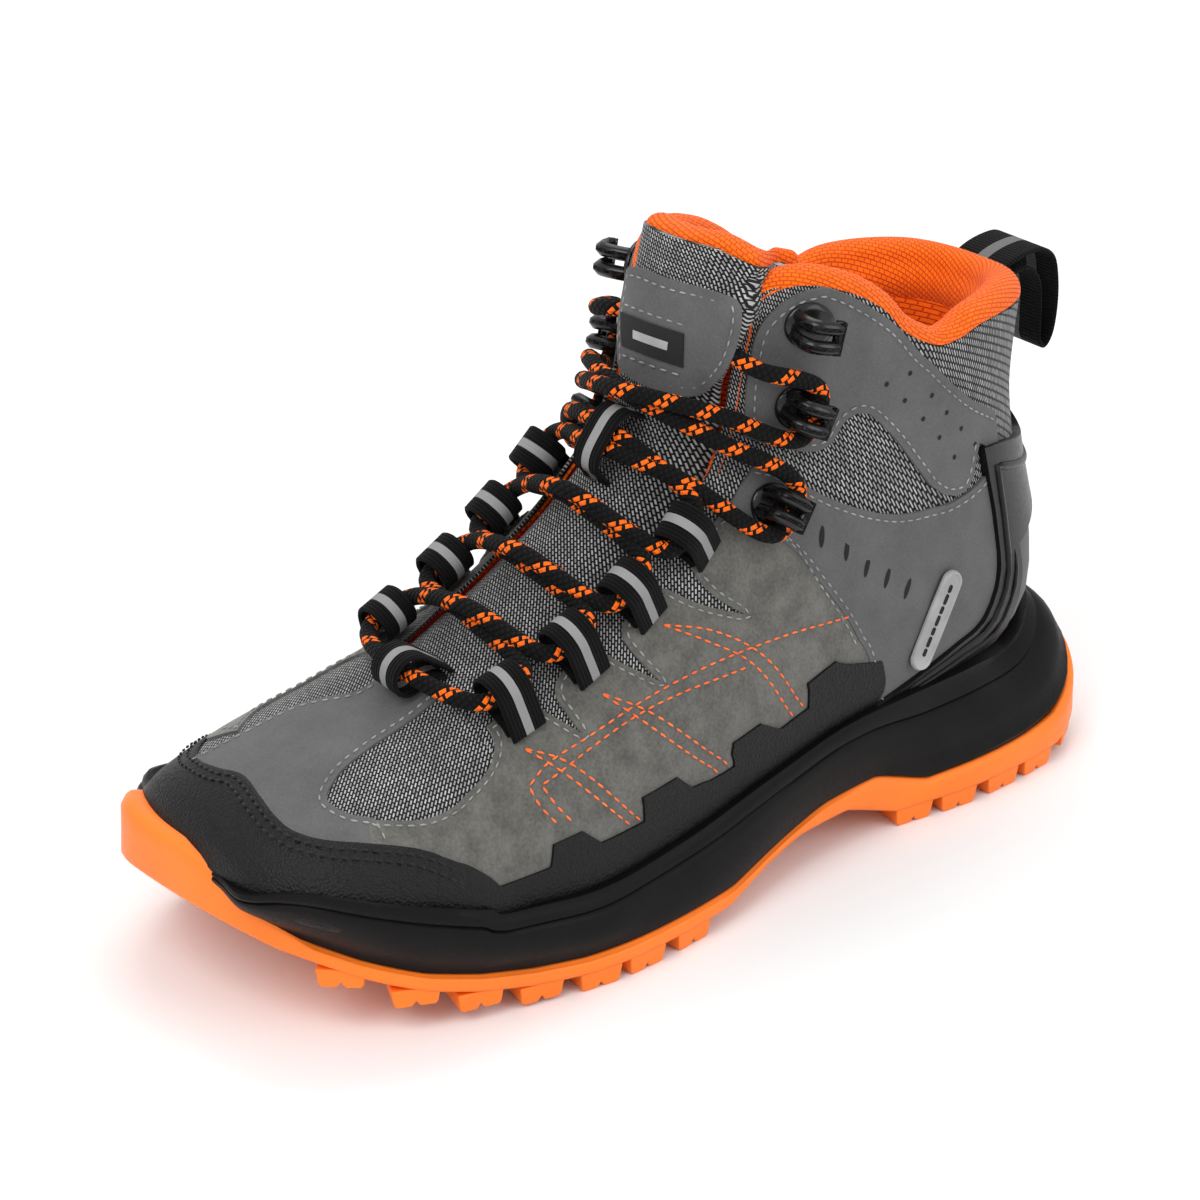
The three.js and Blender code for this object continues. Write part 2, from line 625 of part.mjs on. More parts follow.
// The heel stabiliser: an arm on each side and a bar across the back.
function stabiliser() {
  const arm = alongFoot(1.55, 1.72, flat(0.612), [[1.5, 0.668], [1.72, 0.66]]);
  const bar = aroundFoot(0.64, 1.36,
    [[0.64, 1.665], [0.68, 1.672], [0.84, 1.708], [1, 1.723], [1.16, 1.708], [1.32, 1.672], [1.36, 1.665]],
    [[0.64, 1.72], [0.84, 1.748], [1, 1.762], [1.16, 1.748], [1.36, 1.72]]);
  const cuts = [
    { at: arm, steps: 6, across: 2 }, { at: (t, u) => [arm(t, u)[0], -arm(t, u)[1]], steps: 6, across: 2 },
    { at: bar, steps: 14, across: 2 },
  ];
  return fromSolid(cuts
    .map((cut) => solid(panel({ ...cut, inner: lift.overlay[0], outer: lift.overlay[1] + 1 })))
    .reduce((a, b) => a.add(b)));
}
place('heel_stabiliser', stabiliser(), 'blackSatin');
place('heel_panel', panel({
  at: aroundFoot(0.68, 1.32, [[0.68, 1.605], [0.8, 1.64], [1, 1.675], [1.2, 1.64], [1.32, 1.605]],
    [[0.68, 1.665], [0.84, 1.7], [1, 1.715], [1.16, 1.7], [1.32, 1.665]]), steps: 14, across: 3,
  inner: lift.overlay[0], outer: lift.overlay[1],
}), 'greyNubuck');

// ---- Tongue ----
const tongueHinge = 1.7;
const tongueFront = lift.overlay[0];
const tongueBack = tongueFront - layer.tonguePad;
place('tongue_lower', panel({
  at: alongFoot(1.07, tongueHinge - 0.006, [[1.06, -0.08], [1.25, -0.095], [1.5, -0.11], [1.7, -0.125]],
    [[1.06, 0.14], [1.25, 0.155], [1.5, 0.17], [1.7, 0.185]]), steps: 12, across: 4,
  inner: tongueBack, outer: (s) => tongueFront - 1.6 - 1.4 * THREE.MathUtils.smoothstep(s, 1.45, 1.6),
}), 'darkMesh');
const flapLow = flat(-0.083);
const flapHigh = flat(0.143);
place('tongue_flap', panel({
  at: alongFoot(tongueHinge + 0.014, 1.945, flapLow, flapHigh), steps: 5, across: 5,
  inner: tongueBack, outer: tongueFront - gap,
}), 'darkMesh');
place('tongue_lining', panel({
  at: alongFoot(tongueHinge + 0.014, 1.95, flapLow, flapHigh), steps: 5, across: 5,
  inner: tongueBack - gap - layer.lining, outer: tongueBack - gap,
}), 'orangeMesh');
place('tongue_patch', panel({
  at: alongFoot(tongueHinge + 0.02, 1.885, flat(-0.075), flat(0.135)), steps: 4, across: 5,
  inner: lift.overlay[0], outer: lift.overlay[1],
}), 'greyNubuck');
place('tongue_label', panel({
  at: alongFoot(1.745, 1.8, flat(-0.04), flat(0.1)), steps: 2, across: 3,
  inner: lift.overlay[1] + gap, outer: lift.overlay[1] + gap + 0.8,
}), 'webbing');

// ---- Things that stand on the surface ----
// A frame at (s, v): x runs across towards the instep, y along the foot, z out of the surface.
function frameAt(s, v, height, turn = 0) {
  const normal = lastNormal(s, v);
  const origin = onLast(s, v, height);
  const towards = onLast(s, v + (v > laceLine ? -0.03 : 0.03), height).sub(origin);
  towards.addScaledVector(normal, -towards.dot(normal)).normalize();
  towards.applyAxisAngle(normal, turn);
  const along = new THREE.Vector3().crossVectors(normal, towards);
  return new THREE.Matrix4().makeBasis(towards, along, normal).setPosition(origin);
}

// Stands an extruded side view up, so that its outline lies in the frame's x and z.
function upright(shape, width) {
  const geometry = new THREE.ExtrudeGeometry(shape, { depth: width, bevelEnabled: false, curveSegments: 6 });
  geometry.rotateX(Math.PI / 2);
  geometry.translate(0, width / 2, 0);
  return geometry;
}

// A webbing loop seen from its side: a nose around the lace and a tail sewn down.
function loopShape() {
  const outside = loop.hole + loop.web;
  const shape = new THREE.Shape();
  shape.moveTo(-outside - loop.tail, 0);
  shape.lineTo(0, 0);
  shape.absarc(0, outside, outside, -Math.PI / 2, Math.PI * 0.62, false);
  shape.lineTo(-outside - loop.tail, loop.web * 1.6);
  shape.closePath();
  const eye = new THREE.Path();
  eye.absarc(0, outside, loop.hole, 0, Math.PI * 2, true);
  shape.holes.push(eye);
  return shape;
}

function laceLoop(name, s, v, turn = 0) {
  const body = upright(loopShape(), loop.width);
  body.applyMatrix4(frameAt(s, v, loop.height, turn));
  place(name, body, 'webbing');
}
const loopPlaces = [[1.125, 0.17], [1.258, 0.182], [1.385, 0.195], [1.508, 0.205]];
loopPlaces.forEach(([s, v], i) => {
  laceLoop(`lace_loop_lateral_${i + 1}`, s, v);
  laceLoop(`lace_loop_medial_${i + 1}`, s, 2 * laceLine - v);
});
laceLoop('lace_loop_vamp', 1.045, laceLine, -Math.PI / 2);

// The keeper on the tongue: a wide loop that two strands pass through side by side.
function keeperShape() {
  const reach = keeper.eyeWidth / 2 + keeper.web;
  const top = keeper.eyeHeight + 2 * keeper.web;
  const shape = new THREE.Shape([
    [-reach, 0], [reach, 0], [reach, top * 0.6], [reach * 0.6, top], [-reach * 0.6, top], [-reach, top * 0.6],
  ].map(([x, z]) => new THREE.Vector2(x, z)));
  const [side, high] = [keeper.eyeWidth / 2, keeper.web + keeper.eyeHeight];
  shape.holes.push(new THREE.Path([
    [-side, keeper.web], [-side, high * 0.7], [-side * 0.7, high], [side * 0.7, high], [side, high * 0.7],
    [side, keeper.web],
  ].map(([x, z]) => new THREE.Vector2(x, z))));
  return shape;
}
place('tongue_keeper', upright(keeperShape(), keeper.width)
  .applyMatrix4(frameAt(keeper.s, laceLine, -0.2, -Math.PI / 2)), 'webbing');

function hookBody() {
  const half = hook.plate / 2;
  const base = new THREE.Shape();
  base.absellipse(0, 0, half, half * 0.85, 0, Math.PI * 2, false);
  const hole = new THREE.Path();
  hole.absarc(-3.2, 0, hook.rivetRadius + gap, 0, Math.PI * 2, true);
  base.holes.push(hole);
  const plate = new THREE.ExtrudeGeometry(base, { depth: hook.plateThickness, bevelEnabled: false, curveSegments: 8 });
  const top = hook.plateThickness + hook.throat;
  const claw = new THREE.Shape([
    [half - 2.2, 0.4], [half - 2.2 - hook.wall, 0.4], [half - 2.2 - hook.wall, top], [-half * 0.6, top],
    [-half * 0.75, top + 0.8], [-half * 0.6, top + hook.wall], [half - 4, top + hook.wall], [half - 2.2, top],
  ].map(([x, z]) => new THREE.Vector2(x, z)));
  return fromSolid(solid(plate).add(solid(upright(claw, hook.width))));
}

const hookPlaces = [[1.607, 0.29], [1.738, 0.31], [1.85, 0.312]];
hookPlaces.forEach(([s, v], i) => {
  [['lateral', v], ['medial', 2 * laceLine - v]].forEach(([side, at]) => {
    const frame = frameAt(s, at, lift.overlay[1] + 0.6);
    place(`lace_hook_${side}_${i + 1}`, hookBody().applyMatrix4(frame), 'blackSatin');
    const rivet = new THREE.CylinderGeometry(hook.rivetRadius, hook.rivetRadius, hook.plateThickness, 12);
    rivet.rotateX(Math.PI / 2);
    rivet.translate(-3.2, 0, hook.plateThickness / 2 + 0.1);
    place(`hook_rivet_${side}_${i + 1}`, rivet.applyMatrix4(frame), 'steel');
  });
});

// The lace: one cord from inside the medial collar, down through the loops and back up to the lateral collar.
const laceRoute = [
  [-15, 8, 100], [-9.5, 14.5, 115], [-6, 18.5, 133], [-4.5, 20.5, 144], [-9, 15.5, 150.5],
  [-16, 6.5, 153.5], [-25, 7, 151], [-33, 21.5, 144], [-31.5, 16.5, 131], [-18.5, -1, 140],
  [5, -7.5, 139.5], [27, 6, 128.5], [36.5, 26, 113], [38, 17.5, 102], [24.5, -5, 119.5], [5, -17, 126.5],
  [-21.5, -11.5, 119.5], [-22, -21, 110], [4, -26, 113.5], [30, -22.5, 101.5], [31, -34.5, 94.5],
  [5, -46, 104.5], [-19, -45, 97], [-19, -57, 90.5], [4.5, -61, 89], [30.5, -63.5, 82.5],
  [29.5, -76.5, 78.5], [5.5, -84.5, 81.5], [-18, -77.5, 82], [-18.5, -65, 87], [5, -63.5, 93.5],
  [30.5, -54.5, 86], [30.5, -42, 91.5], [4, -43, 100], [-20.5, -38.5, 100], [-20, -27.5, 107.5],
  [5, -29.5, 117.5], [31.5, -14.5, 104.5], [30, -4.5, 113], [5, -14, 130.5], [-16.5, -9, 127.5],
  [-31.5, 5.5, 110], [-31, 14, 121], [-20, -2, 133.5], [6, -11.5, 141.5], [26, 6, 136], [36, 27.5, 126.5],
  [37.5, 32.5, 139.5], [31.5, 15.5, 148], [22.5, 12, 152], [13.5, 19, 149.5], [8, 24, 143],
  [10.5, 24.5, 130], [14.5, 23, 108], [21, 16, 91.5],
];

// The curve is read by its own points, so that the tube has a ring at each of them.
function laceBody() {
  const points = laceRoute.map(([x, y, z]) => new THREE.Vector3(x, y, z));
  const curve = new THREE.CatmullRomCurve3(points, false, 'centripetal');
  curve.getPointAt = curve.getPoint;
  curve.getTangentAt = curve.getTangent;
  const ring = new THREE.Shape();
  for (let i = 0; i < lace.sides; i += 1) {
    const turn = (i * 2 * Math.PI) / lace.sides;
    const [x, y] = [lace.radius * Math.cos(turn), lace.radius * Math.sin(turn)];
    if (i === 0) ring.moveTo(x, y);
    else ring.lineTo(x, y);
  }
  ring.closePath();
  return new THREE.ExtrudeGeometry(ring, { steps: lace.steps, extrudePath: curve, bevelEnabled: false });
}
place('lace', laceBody(), 'webbing');

// An aglet on each end of the lace, in line with its last stretch.
function aglet(name, tip, before) {
  const end = new THREE.Vector3(...tip);
  const away = end.clone().sub(new THREE.Vector3(...before)).normalize();
  const body = new THREE.CylinderGeometry(lace.agletRadius * 0.7, lace.agletRadius, lace.aglet, 10);
  body.translate(0, lace.aglet / 2 + gap, 0);
  body.applyQuaternion(new THREE.Quaternion().setFromUnitVectors(new THREE.Vector3(0, 1, 0), away));
  place(name, body.translate(end.x, end.y, end.z), 'blackSatin');
}
aglet('lace_aglet_medial', laceRoute[0], laceRoute[1]);
aglet('lace_aglet_lateral', laceRoute.at(-1), laceRoute.at(-2));

// The badge on the ankle, a capsule that lies along the heel stabiliser.
function badgeBody() {
  const r = badge.width / 2;
  const straightHalf = badge.length / 2 - r;
  const shape = new THREE.Shape();
  shape.absarc(0, straightHalf, r, 0, Math.PI, false);
  shape.absarc(0, -straightHalf, r, Math.PI, Math.PI * 2, false);
  shape.closePath();
  return new THREE.ExtrudeGeometry(shape, { depth: badge.thickness, bevelEnabled: false, curveSegments: 6 });
}
place('badge', badgeBody().applyMatrix4(frameAt(1.585, 0.54, 0.9, 0.1)), 'silver');

// The pull tab: a loop of webbing that hangs over the back of the collar.
const tabOutline = [
  [132, 146], [137, 150], [145, 150.5], [150, 146], [151.6, 138], [151.6, 124], [149.5, 115], [145.5, 113],
  [142.6, 117], [142.6, 128], [142, 138], [139, 144.5], [134, 143.6],
];
const tabEye = [[146.2, 119], [148.9, 124], [148.9, 138], [147, 145], [144.6, 144.5], [145.2, 138], [145.2, 128]];

function pullTab() {
  const to2d = ([y, z]) => new THREE.Vector2(y * grade.y, z * grade.z);
  const shape = new THREE.Shape(tabOutline.map(to2d));
  shape.holes.push(new THREE.Path(tabEye.map(to2d)));
  const geometry = new THREE.ExtrudeGeometry(shape, { depth: tab.width, bevelEnabled: false });
  geometry.applyMatrix4(new THREE.Matrix4().set(0, 0, 1, -tab.width / 2, 1, 0, 0, 0, 0, 1, 0, 0, 0, 0, 0, 1));
  return geometry;
}
place('pull_tab', pullTab(), 'webbing');

export default part;
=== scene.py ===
import math

import bmesh
import bpy
import numpy as np
from mathutils import Matrix, Vector


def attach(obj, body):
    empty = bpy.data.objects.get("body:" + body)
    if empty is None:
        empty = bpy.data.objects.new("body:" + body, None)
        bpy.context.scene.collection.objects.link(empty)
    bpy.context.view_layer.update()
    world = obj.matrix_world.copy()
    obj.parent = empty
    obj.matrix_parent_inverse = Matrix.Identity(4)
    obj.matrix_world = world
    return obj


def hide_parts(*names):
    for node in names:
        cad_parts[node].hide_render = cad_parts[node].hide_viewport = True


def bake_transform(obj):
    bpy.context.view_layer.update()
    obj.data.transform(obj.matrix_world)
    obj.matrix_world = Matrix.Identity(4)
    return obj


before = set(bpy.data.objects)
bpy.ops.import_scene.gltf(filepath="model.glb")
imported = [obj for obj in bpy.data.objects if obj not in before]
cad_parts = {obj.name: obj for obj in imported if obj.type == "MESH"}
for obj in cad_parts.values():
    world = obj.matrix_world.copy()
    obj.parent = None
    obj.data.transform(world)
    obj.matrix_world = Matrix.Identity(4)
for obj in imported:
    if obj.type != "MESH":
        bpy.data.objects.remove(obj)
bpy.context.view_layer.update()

# Outlines and heights are in millimetres on the boot's last, and every mesh is made in metres.
mm = 0.001

# Camera
view = {"target": (-0.0285, 0.011, 0.060), "back": (0.6957, -0.5751, 0.4305), "distance": 1.15, "lens": 121.9}


def makeCamera():
    camera = bpy.data.objects.new("camera", bpy.data.cameras.new("camera"))
    bpy.context.scene.collection.objects.link(camera)
    back = Vector(view["back"]).normalized()
    camera.location = Vector(view["target"]) + back * view["distance"]
    camera.rotation_euler = back.to_track_quat("Z", "Y").to_euler()
    camera.data.lens = view["lens"]
    camera.data.sensor_width = 36
    camera.data.clip_end = 50
    bpy.context.scene.camera = camera


makeCamera()
print("camera placed")


# Node materials
def newMaterial(name, color, roughness, sheen=0.0, specular=0.5, metallic=0.0):
    material = bpy.data.materials.new(name)
    material.use_nodes = True
    shader = material.node_tree.nodes["Principled BSDF"]
    shader.inputs["Base Color"].default_value = (*color, 1)
    shader.inputs["Roughness"].default_value = roughness
    shader.inputs["Sheen Weight"].default_value = sheen
    shader.inputs["Specular IOR Level"].default_value = specular
    shader.inputs["Metallic"].default_value = metallic
    return material


def addNode(material, kind, **values):
    node = material.node_tree.nodes.new(kind)
    for key, value in values.items():
        if hasattr(node, key):
            setattr(node, key, value)
        else:
            node.inputs[key.replace("_", " ")].default_value = value
    return node


def wire(material, start, end):
    material.node_tree.links.new(start, end)


def patternPlace(material, useUv, scale=(1, 1, 1), turn=0.0):
    # Where a pattern is read: the piece's own map, or its object coordinates, both in metres
    source = addNode(material, "ShaderNodeTexCoord")
    mapping = addNode(material, "ShaderNodeMapping")
    mapping.inputs["Scale"].default_value = scale
    mapping.inputs["Rotation"].default_value = (0, 0, turn)
    wire(material, source.outputs["UV" if useUv else "Object"], mapping.inputs["Vector"])
    return mapping.outputs["Vector"]


def noiseFac(material, place, scale, detail=3.0):
    noise = addNode(material, "ShaderNodeTexNoise", Scale=scale, Detail=detail, Roughness=0.55)
    wire(material, place, noise.inputs["Vector"])
    return noise.outputs["Fac"]


def ramp(material, value, stops):
    node = addNode(material, "ShaderNodeValToRGB")
    elements = node.color_ramp.elements
    while len(elements) < len(stops):
        elements.new(0.5)
    for element, (at, color) in zip(elements, stops):
        element.position = at
        element.color = (*color, 1) if len(color) == 3 else color
    wire(material, value, node.inputs["Fac"])
    return node.outputs["Color"]


def maths(material, operation, a, b=None):
    node = addNode(material, "ShaderNodeMath", operation=operation)
    for socket, value in zip(node.inputs, (a, b)):
        if value is None:
            continue
        if isinstance(value, (int, float)):
            socket.default_value = value
        else:
            wire(material, value, socket)
    return node.outputs["Value"]


def mixColor(material, fac, a, b):
    node = addNode(material, "ShaderNodeMix", data_type="RGBA")
    for socket, value in zip((node.inputs[0], node.inputs[6], node.inputs[7]), (fac, a, b)):
        if isinstance(value, tuple):
            socket.default_value = (*value, 1)
        elif isinstance(value, (int, float)):
            socket.default_value = value
        else:
            wire(material, value, socket)
    return node.outputs[2]


def finishWith(material, color=None, height=None, bump=0.3, distance=0.0003, rough=None):
    shader = material.node_tree.nodes["Principled BSDF"]
    if color is not None:
        wire(material, color, shader.inputs["Base Color"])
    if rough is not None:
        wire(material, rough, shader.inputs["Roughness"])
    if height is not None:
        node = addNode(material, "ShaderNodeBump", Strength=bump, Distance=distance)
        wire(material, height, node.inputs["Height"])
        wire(material, node.outputs["Normal"], shader.inputs["Normal"])
    return material


def grey(value):
    return (value, value, value)


def hideMaterial(name, dark, light, roughness, sheen, grain, bump, mottle=90):
    # Leather with a fine grain and soft cloudy shading
    material = newMaterial(name, light, roughness, sheen=sheen, specular=0.2)
    place = patternPlace(material, False)
    fine = noiseFac(material, place, grain, 4)
    cloud = noiseFac(material, place, mottle, 3)
    both = maths(material, "ADD", maths(material, "MULTIPLY", fine, 0.45),
                 maths(material, "MULTIPLY", cloud, 0.55))
    color = ramp(material, both, [(0.36, dark), (0.64, light)])
    rough = ramp(material, cloud, [(0.3, grey(roughness - 0.1)), (0.7, grey(min(roughness + 0.08, 1)))])
    return finishWith(material, color, fine, bump, 0.00025, rough)


def pebbledLeather(name, color):
    material = newMaterial(name, color, 0.5, specular=0.2)
    place = patternPlace(material, False)
    cells = addNode(material, "ShaderNodeTexVoronoi", Scale=1300.0)
    wire(material, place, cells.inputs["Vector"])
    cloud = noiseFac(material, place, 500, 4)
    height = maths(material, "ADD", cells.outputs["Distance"], maths(material, "MULTIPLY", cloud, 0.8))
    rough = ramp(material, height, [(0.3, grey(0.3)), (1.0, grey(0.52))])
    low, high = (tuple(c * share for c in color) for share in (0.75, 1.5))
    tint = ramp(material, cloud, [(0.3, low), (0.7, high)])
    return finishWith(material, tint, height, 0.55, 0.0004, rough)


basket = {"dash": 1.6, "row": 0.85, "gap": 0.27, "blur": 0.4, "turn": 0.9}
knit = {"dash": 2.6, "row": 1.5, "gap": 0.3, "blur": 1.0, "turn": 0.25}


def staggeredRows(material, sizes, first, second, ground):
    # Dashes in staggered rows over a ground, with sizes in millimetres
    rows = addNode(material, "ShaderNodeTexBrick", offset=0.5, Scale=1.0)
    rows.inputs["Color1"].default_value = (*first, 1)
    rows.inputs["Color2"].default_value = (*second, 1)
    rows.inputs["Mortar"].default_value = (*ground, 1)
    rows.inputs["Mortar Size"].default_value = sizes["gap"]
    rows.inputs["Mortar Smooth"].default_value = sizes["blur"]
    rows.inputs["Brick Width"].default_value = sizes["dash"]
    rows.inputs["Row Height"].default_value = sizes["row"]
    place = patternPlace(material, True, (1000, 1000, 1000), sizes["turn"])
    wire(material, place, rows.inputs["Vector"])
    return rows.outputs["Color"], maths(material, "SUBTRACT", 1.0, rows.outputs["Fac"])


def wovenMesh(name, thread, shade, base):
    # Basket weave of light dashes over a dark ground
    material = newMaterial(name, thread, 0.8, sheen=0.1, specular=0.2)
    dashes, height = staggeredRows(material, basket, thread, shade, base)
    cloud = noiseFac(material, patternPlace(material, False), 60, 2)
    shadeFac = ramp(material, cloud, [(0.3, grey(0.75)), (0.7, grey(1.0))])
    color = addNode(material, "ShaderNodeMix", data_type="RGBA", blend_type="MULTIPLY")
    color.inputs[0].default_value = 1.0
    wire(material, dashes, color.inputs[6])
    wire(material, shadeFac, color.inputs[7])
    return finishWith(material, color.outputs[2], height, 0.8, 0.0005)


def liningCloth(name, color, deep):
    # Knitted lining of small ovals in rows
    material = newMaterial(name, color, 0.85, sheen=0.1, specular=0.12)
    ovals, height = staggeredRows(material, knit, color, [c * 0.85 for c in color], deep)
    fuzz = noiseFac(material, patternPlace(material, False), 1500, 2)
    both = maths(material, "ADD", height, maths(material, "MULTIPLY", fuzz, 0.35))
    return finishWith(material, ovals, both, 0.7, 0.0005)


def mouldedRubber(name, color, roughness, grain=700, bump=0.12, variation=0.12, specular=0.5):
    material = newMaterial(name, color, roughness, specular=specular)
    place = patternPlace(material, False)
    cloud = noiseFac(material, place, 45, 3)
    fine = noiseFac(material, place, grain, 3)
    low = tuple(c * (1 - variation) for c in color)
    high = tuple(min(c * (1 + variation), 1) for c in color)
    tint = ramp(material, cloud, [(0.35, low), (0.65, high)])
    rough = ramp(material, fine, [(0.3, grey(roughness - 0.06)), (0.7, grey(roughness + 0.08))])
    return finishWith(material, tint, fine, bump, 0.0002, rough)


webbingPitch = {"rib": 1.05, "thread": 0.55}   # millimetres


def ribbedWebbing(name, base, stripe, stripeHalf, acrossRibs):
    # The map runs along the band in x and across it in y, in metres from the middle
    material = newMaterial(name, base, 0.8, sheen=0.02, specular=0.1)
    place = patternPlace(material, True)
    axes = addNode(material, "ShaderNodeSeparateXYZ")
    wire(material, place, axes.inputs["Vector"])
    along, across = axes.outputs["X"], axes.outputs["Y"]
    ribWay, threadWay = (along, across) if acrossRibs else (across, along)
    ribs = maths(material, "SINE", maths(material, "MULTIPLY", ribWay, 6283 / webbingPitch["rib"]))
    threads = maths(material, "SINE", maths(material, "MULTIPLY", threadWay, 6283 / webbingPitch["thread"]))
    height = maths(material, "ADD", ribs, maths(material, "MULTIPLY", threads, 0.35))
    inStripe = maths(material, "LESS_THAN", maths(material, "ABSOLUTE", across), stripeHalf * mm)
    # Painted shade: the colour goes darker in the troughs between the ribs
    dark = ramp(material, ribs, [(0.0, tuple(c * 0.35 for c in base)), (1.0, base)])
    color = mixColor(material, inStripe, dark, stripe)
    calm = maths(material, "SUBTRACT", 1.0, maths(material, "MULTIPLY", inStripe, 0.7))
    return finishWith(material, color, maths(material, "MULTIPLY", height, calm), 0.6, 0.0004)


braid = {"pitch": 1.9, "strands": 6}


def braidedCord(name, base, fleck):
    # The map's x is the length in metres and its y goes once round from 0 to 1
    material = newMaterial(name, base, 0.75, sheen=0.02, specular=0.1)
    place = patternPlace(material, True)
    axes = addNode(material, "ShaderNodeSeparateXYZ")
    wire(material, place, axes.inputs["Vector"])
    length = maths(material, "MULTIPLY", axes.outputs["X"], 1000 / braid["pitch"])
    around = maths(material, "MULTIPLY", axes.outputs["Y"], braid["strands"])
    left = maths(material, "ADD", length, around)
    right = maths(material, "SUBTRACT", length, around)
    waves = [maths(material, "ABSOLUTE", maths(material, "SINE", maths(material, "MULTIPLY", one, math.pi)))
             for one in (left, right)]
    height = maths(material, "MULTIPLY", waves[0], waves[1])
    flecks = []
    for shift in (0.0, 1.0):   # two neighbouring strands carry the flecks in turn
        strand = maths(material, "FLOORED_MODULO", maths(material, "ADD", left, shift), braid["strands"])
        pick = maths(material, "FLOORED_MODULO", maths(material, "ADD", right, shift), 2)
        flecks.append(maths(material, "MULTIPLY", maths(material, "LESS_THAN", strand, 1.0),
                            maths(material, "LESS_THAN", pick, 1.35)))
    crown = maths(material, "GREATER_THAN", waves[0], 0.35)
    mask = maths(material, "MULTIPLY", maths(material, "MAXIMUM", *flecks), crown)
    # Painted shade: the colour goes darker in the crevices between the strands
    dark = ramp(material, height, [(0.0, tuple(c * 0.3 for c in base)), (0.8, base)])
    color = mixColor(material, mask, dark, fleck)
    return finishWith(material, color, height, 0.9, 0.0006)


orange = {"rubber": (0.92, 0.19, 0.016), "cloth": (1.0, 0.15, 0.004), "deep": (0.62, 0.06, 0.002),
          "thread": (1.0, 0.2, 0.03)}
finish = {
    "outsole": mouldedRubber("outsoleRubber", orange["rubber"], 0.45, variation=0.05, specular=0.3),
    "midsole": mouldedRubber("midsoleFoam", grey(0.004), 0.42, 900, 0.1, 0.25, 0.1),
    "leather": pebbledLeather("toeLeather", (0.0045, 0.0045, 0.0048)),
    "rand": pebbledLeather("randLeather", (0.004, 0.004, 0.0042)),
    "nubuck": hideMaterial("greyNubuck", grey(0.072), (0.105, 0.105, 0.107), 0.78, 0.12, 1600, 0.25),
    "suede": hideMaterial("greySuede", (0.062, 0.061, 0.054), (0.125, 0.123, 0.112), 0.95, 0.3, 1100, 0.5,
                          mottle=150),
    "weave": wovenMesh("basketWeave", grey(0.5), grey(0.26), grey(0.003)),
    "lining": liningCloth("orangeLining", orange["cloth"], orange["deep"]),
    "webbing": ribbedWebbing("loopWebbing", grey(0.005), grey(0.24), 1.3, False),
    "tab": ribbedWebbing("tabWebbing", grey(0.005), grey(0.14), 2.0, True),
    "cord": braidedCord("laceBraid", grey(0.006), (1.0, 0.16, 0.01)),
    "satin": mouldedRubber("satinPlastic", grey(0.004), 0.32, 1200, 0.06, 0.2, 0.22),
    "glossy": mouldedRubber("hookPlastic", grey(0.004), 0.22, 1200, 0.03, 0.2, 0.4),
    "greyThread": hideMaterial("greyThread", grey(0.16), grey(0.34), 0.8, 0.2, 3000, 0.2),
    "orangeThread": hideMaterial("orangeThread", (0.75, 0.09, 0.01), orange["thread"], 0.75, 0.2, 3000, 0.2),
    "blackThread": hideMaterial("blackThread", grey(0.004), grey(0.012), 0.7, 0.1, 3000, 0.2),
    "blackLabel": hideMaterial("labelCloth", grey(0.006), grey(0.013), 0.7, 0.1, 2500, 0.3),
    # Painted shade: a flat near-black colour for the inside of punched holes and slots
    "hole": newMaterial("paintedHoleShade", grey(0.003), 0.9),
    "silver": mouldedRubber("silverTrim", grey(0.34), 0.35, 1500, 0.15, 0.25),
    "board": hideMaterial("fibreBoard", (0.2, 0.18, 0.14), (0.36, 0.33, 0.27), 0.9, 0.1, 700, 0.4),
    "steel": newMaterial("springSteel", grey(0.55), 0.35, metallic=1.0),
}
for plainName in ("hole", "steel"):
    plain = finish[plainName]
    finishWith(plain, height=noiseFac(plain, patternPlace(plain, False), 900), bump=0.15)
print("materials ready")


# The last, the surface that the upper is cut from
# s runs from the toe (0) along the foot (1) and fans up to the collar (2); v runs from the instep (0)
# to the sole or the back of the heel (1 lateral, -1 medial). A height of 0 is the outer face of the overlays.
last = {
    "pivot": (-90, 186),
    "toe": -147,
    "instep": [(-147, 44), (-145, 51), (-137, 58), (-122, 63.5), (-104, 68.5), (-86, 74), (-70, 81),
               (-52, 91), (-35, 103), (-19, 117), (-7, 132), (1, 148), (6, 163), (10, 178), (12, 186)],
    "under": [(-147, 44), (-145, 38), (-138, 34), (-125, 28.5), (-110, 24.5), (-95, 21.5), (-80, 20),
              (-60, 19), (0, 22), (60, 27), (110, 29), (128, 32), (137, 42), (139, 58), (136, 78),
              (132, 98), (131, 118), (134, 140), (137, 160), (139, 186)],
    "lateral": [(0, 0), (0.12, 19), (0.3, 33), (0.55, 45), (0.8, 51), (1, 53), (1.12, 53.5), (1.25, 51),
                (1.38, 47), (1.5, 43), (1.62, 39), (1.74, 36.5), (1.86, 37), (2, 38)],
    "medial": [(0, 0), (0.12, 19), (0.3, 35), (0.55, 46), (0.8, 51), (1, 51), (1.12, 49), (1.25, 45.5),
               (1.38, 42.5), (1.5, 40), (1.62, 38), (1.74, 36), (1.86, 36.5), (2, 37.5)],
    "widest": [(0, 0.62), (0.3, 0.66), (0.8, 0.72), (1, 0.74), (1.2, 0.72), (1.4, 0.66), (1.6, 0.6),
               (1.8, 0.55), (2, 0.52)],
    "topPower": [(0, 2), (0.3, 2), (0.8, 2.05), (1, 2.05), (1.2, 1.9), (1.4, 1.85), (1.6, 2.05), (1.8, 2.3),
                 (2, 2.4)],
    "lowPower": [(0, 2.4), (0.3, 3), (0.8, 4), (1, 4.2), (1.2, 4), (1.4, 3.4), (1.6, 2.6), (1.8, 2.2),
                 (2, 2.2)],
}
laceLine = 0.03   # the lacing is centred a little lateral of v = 0


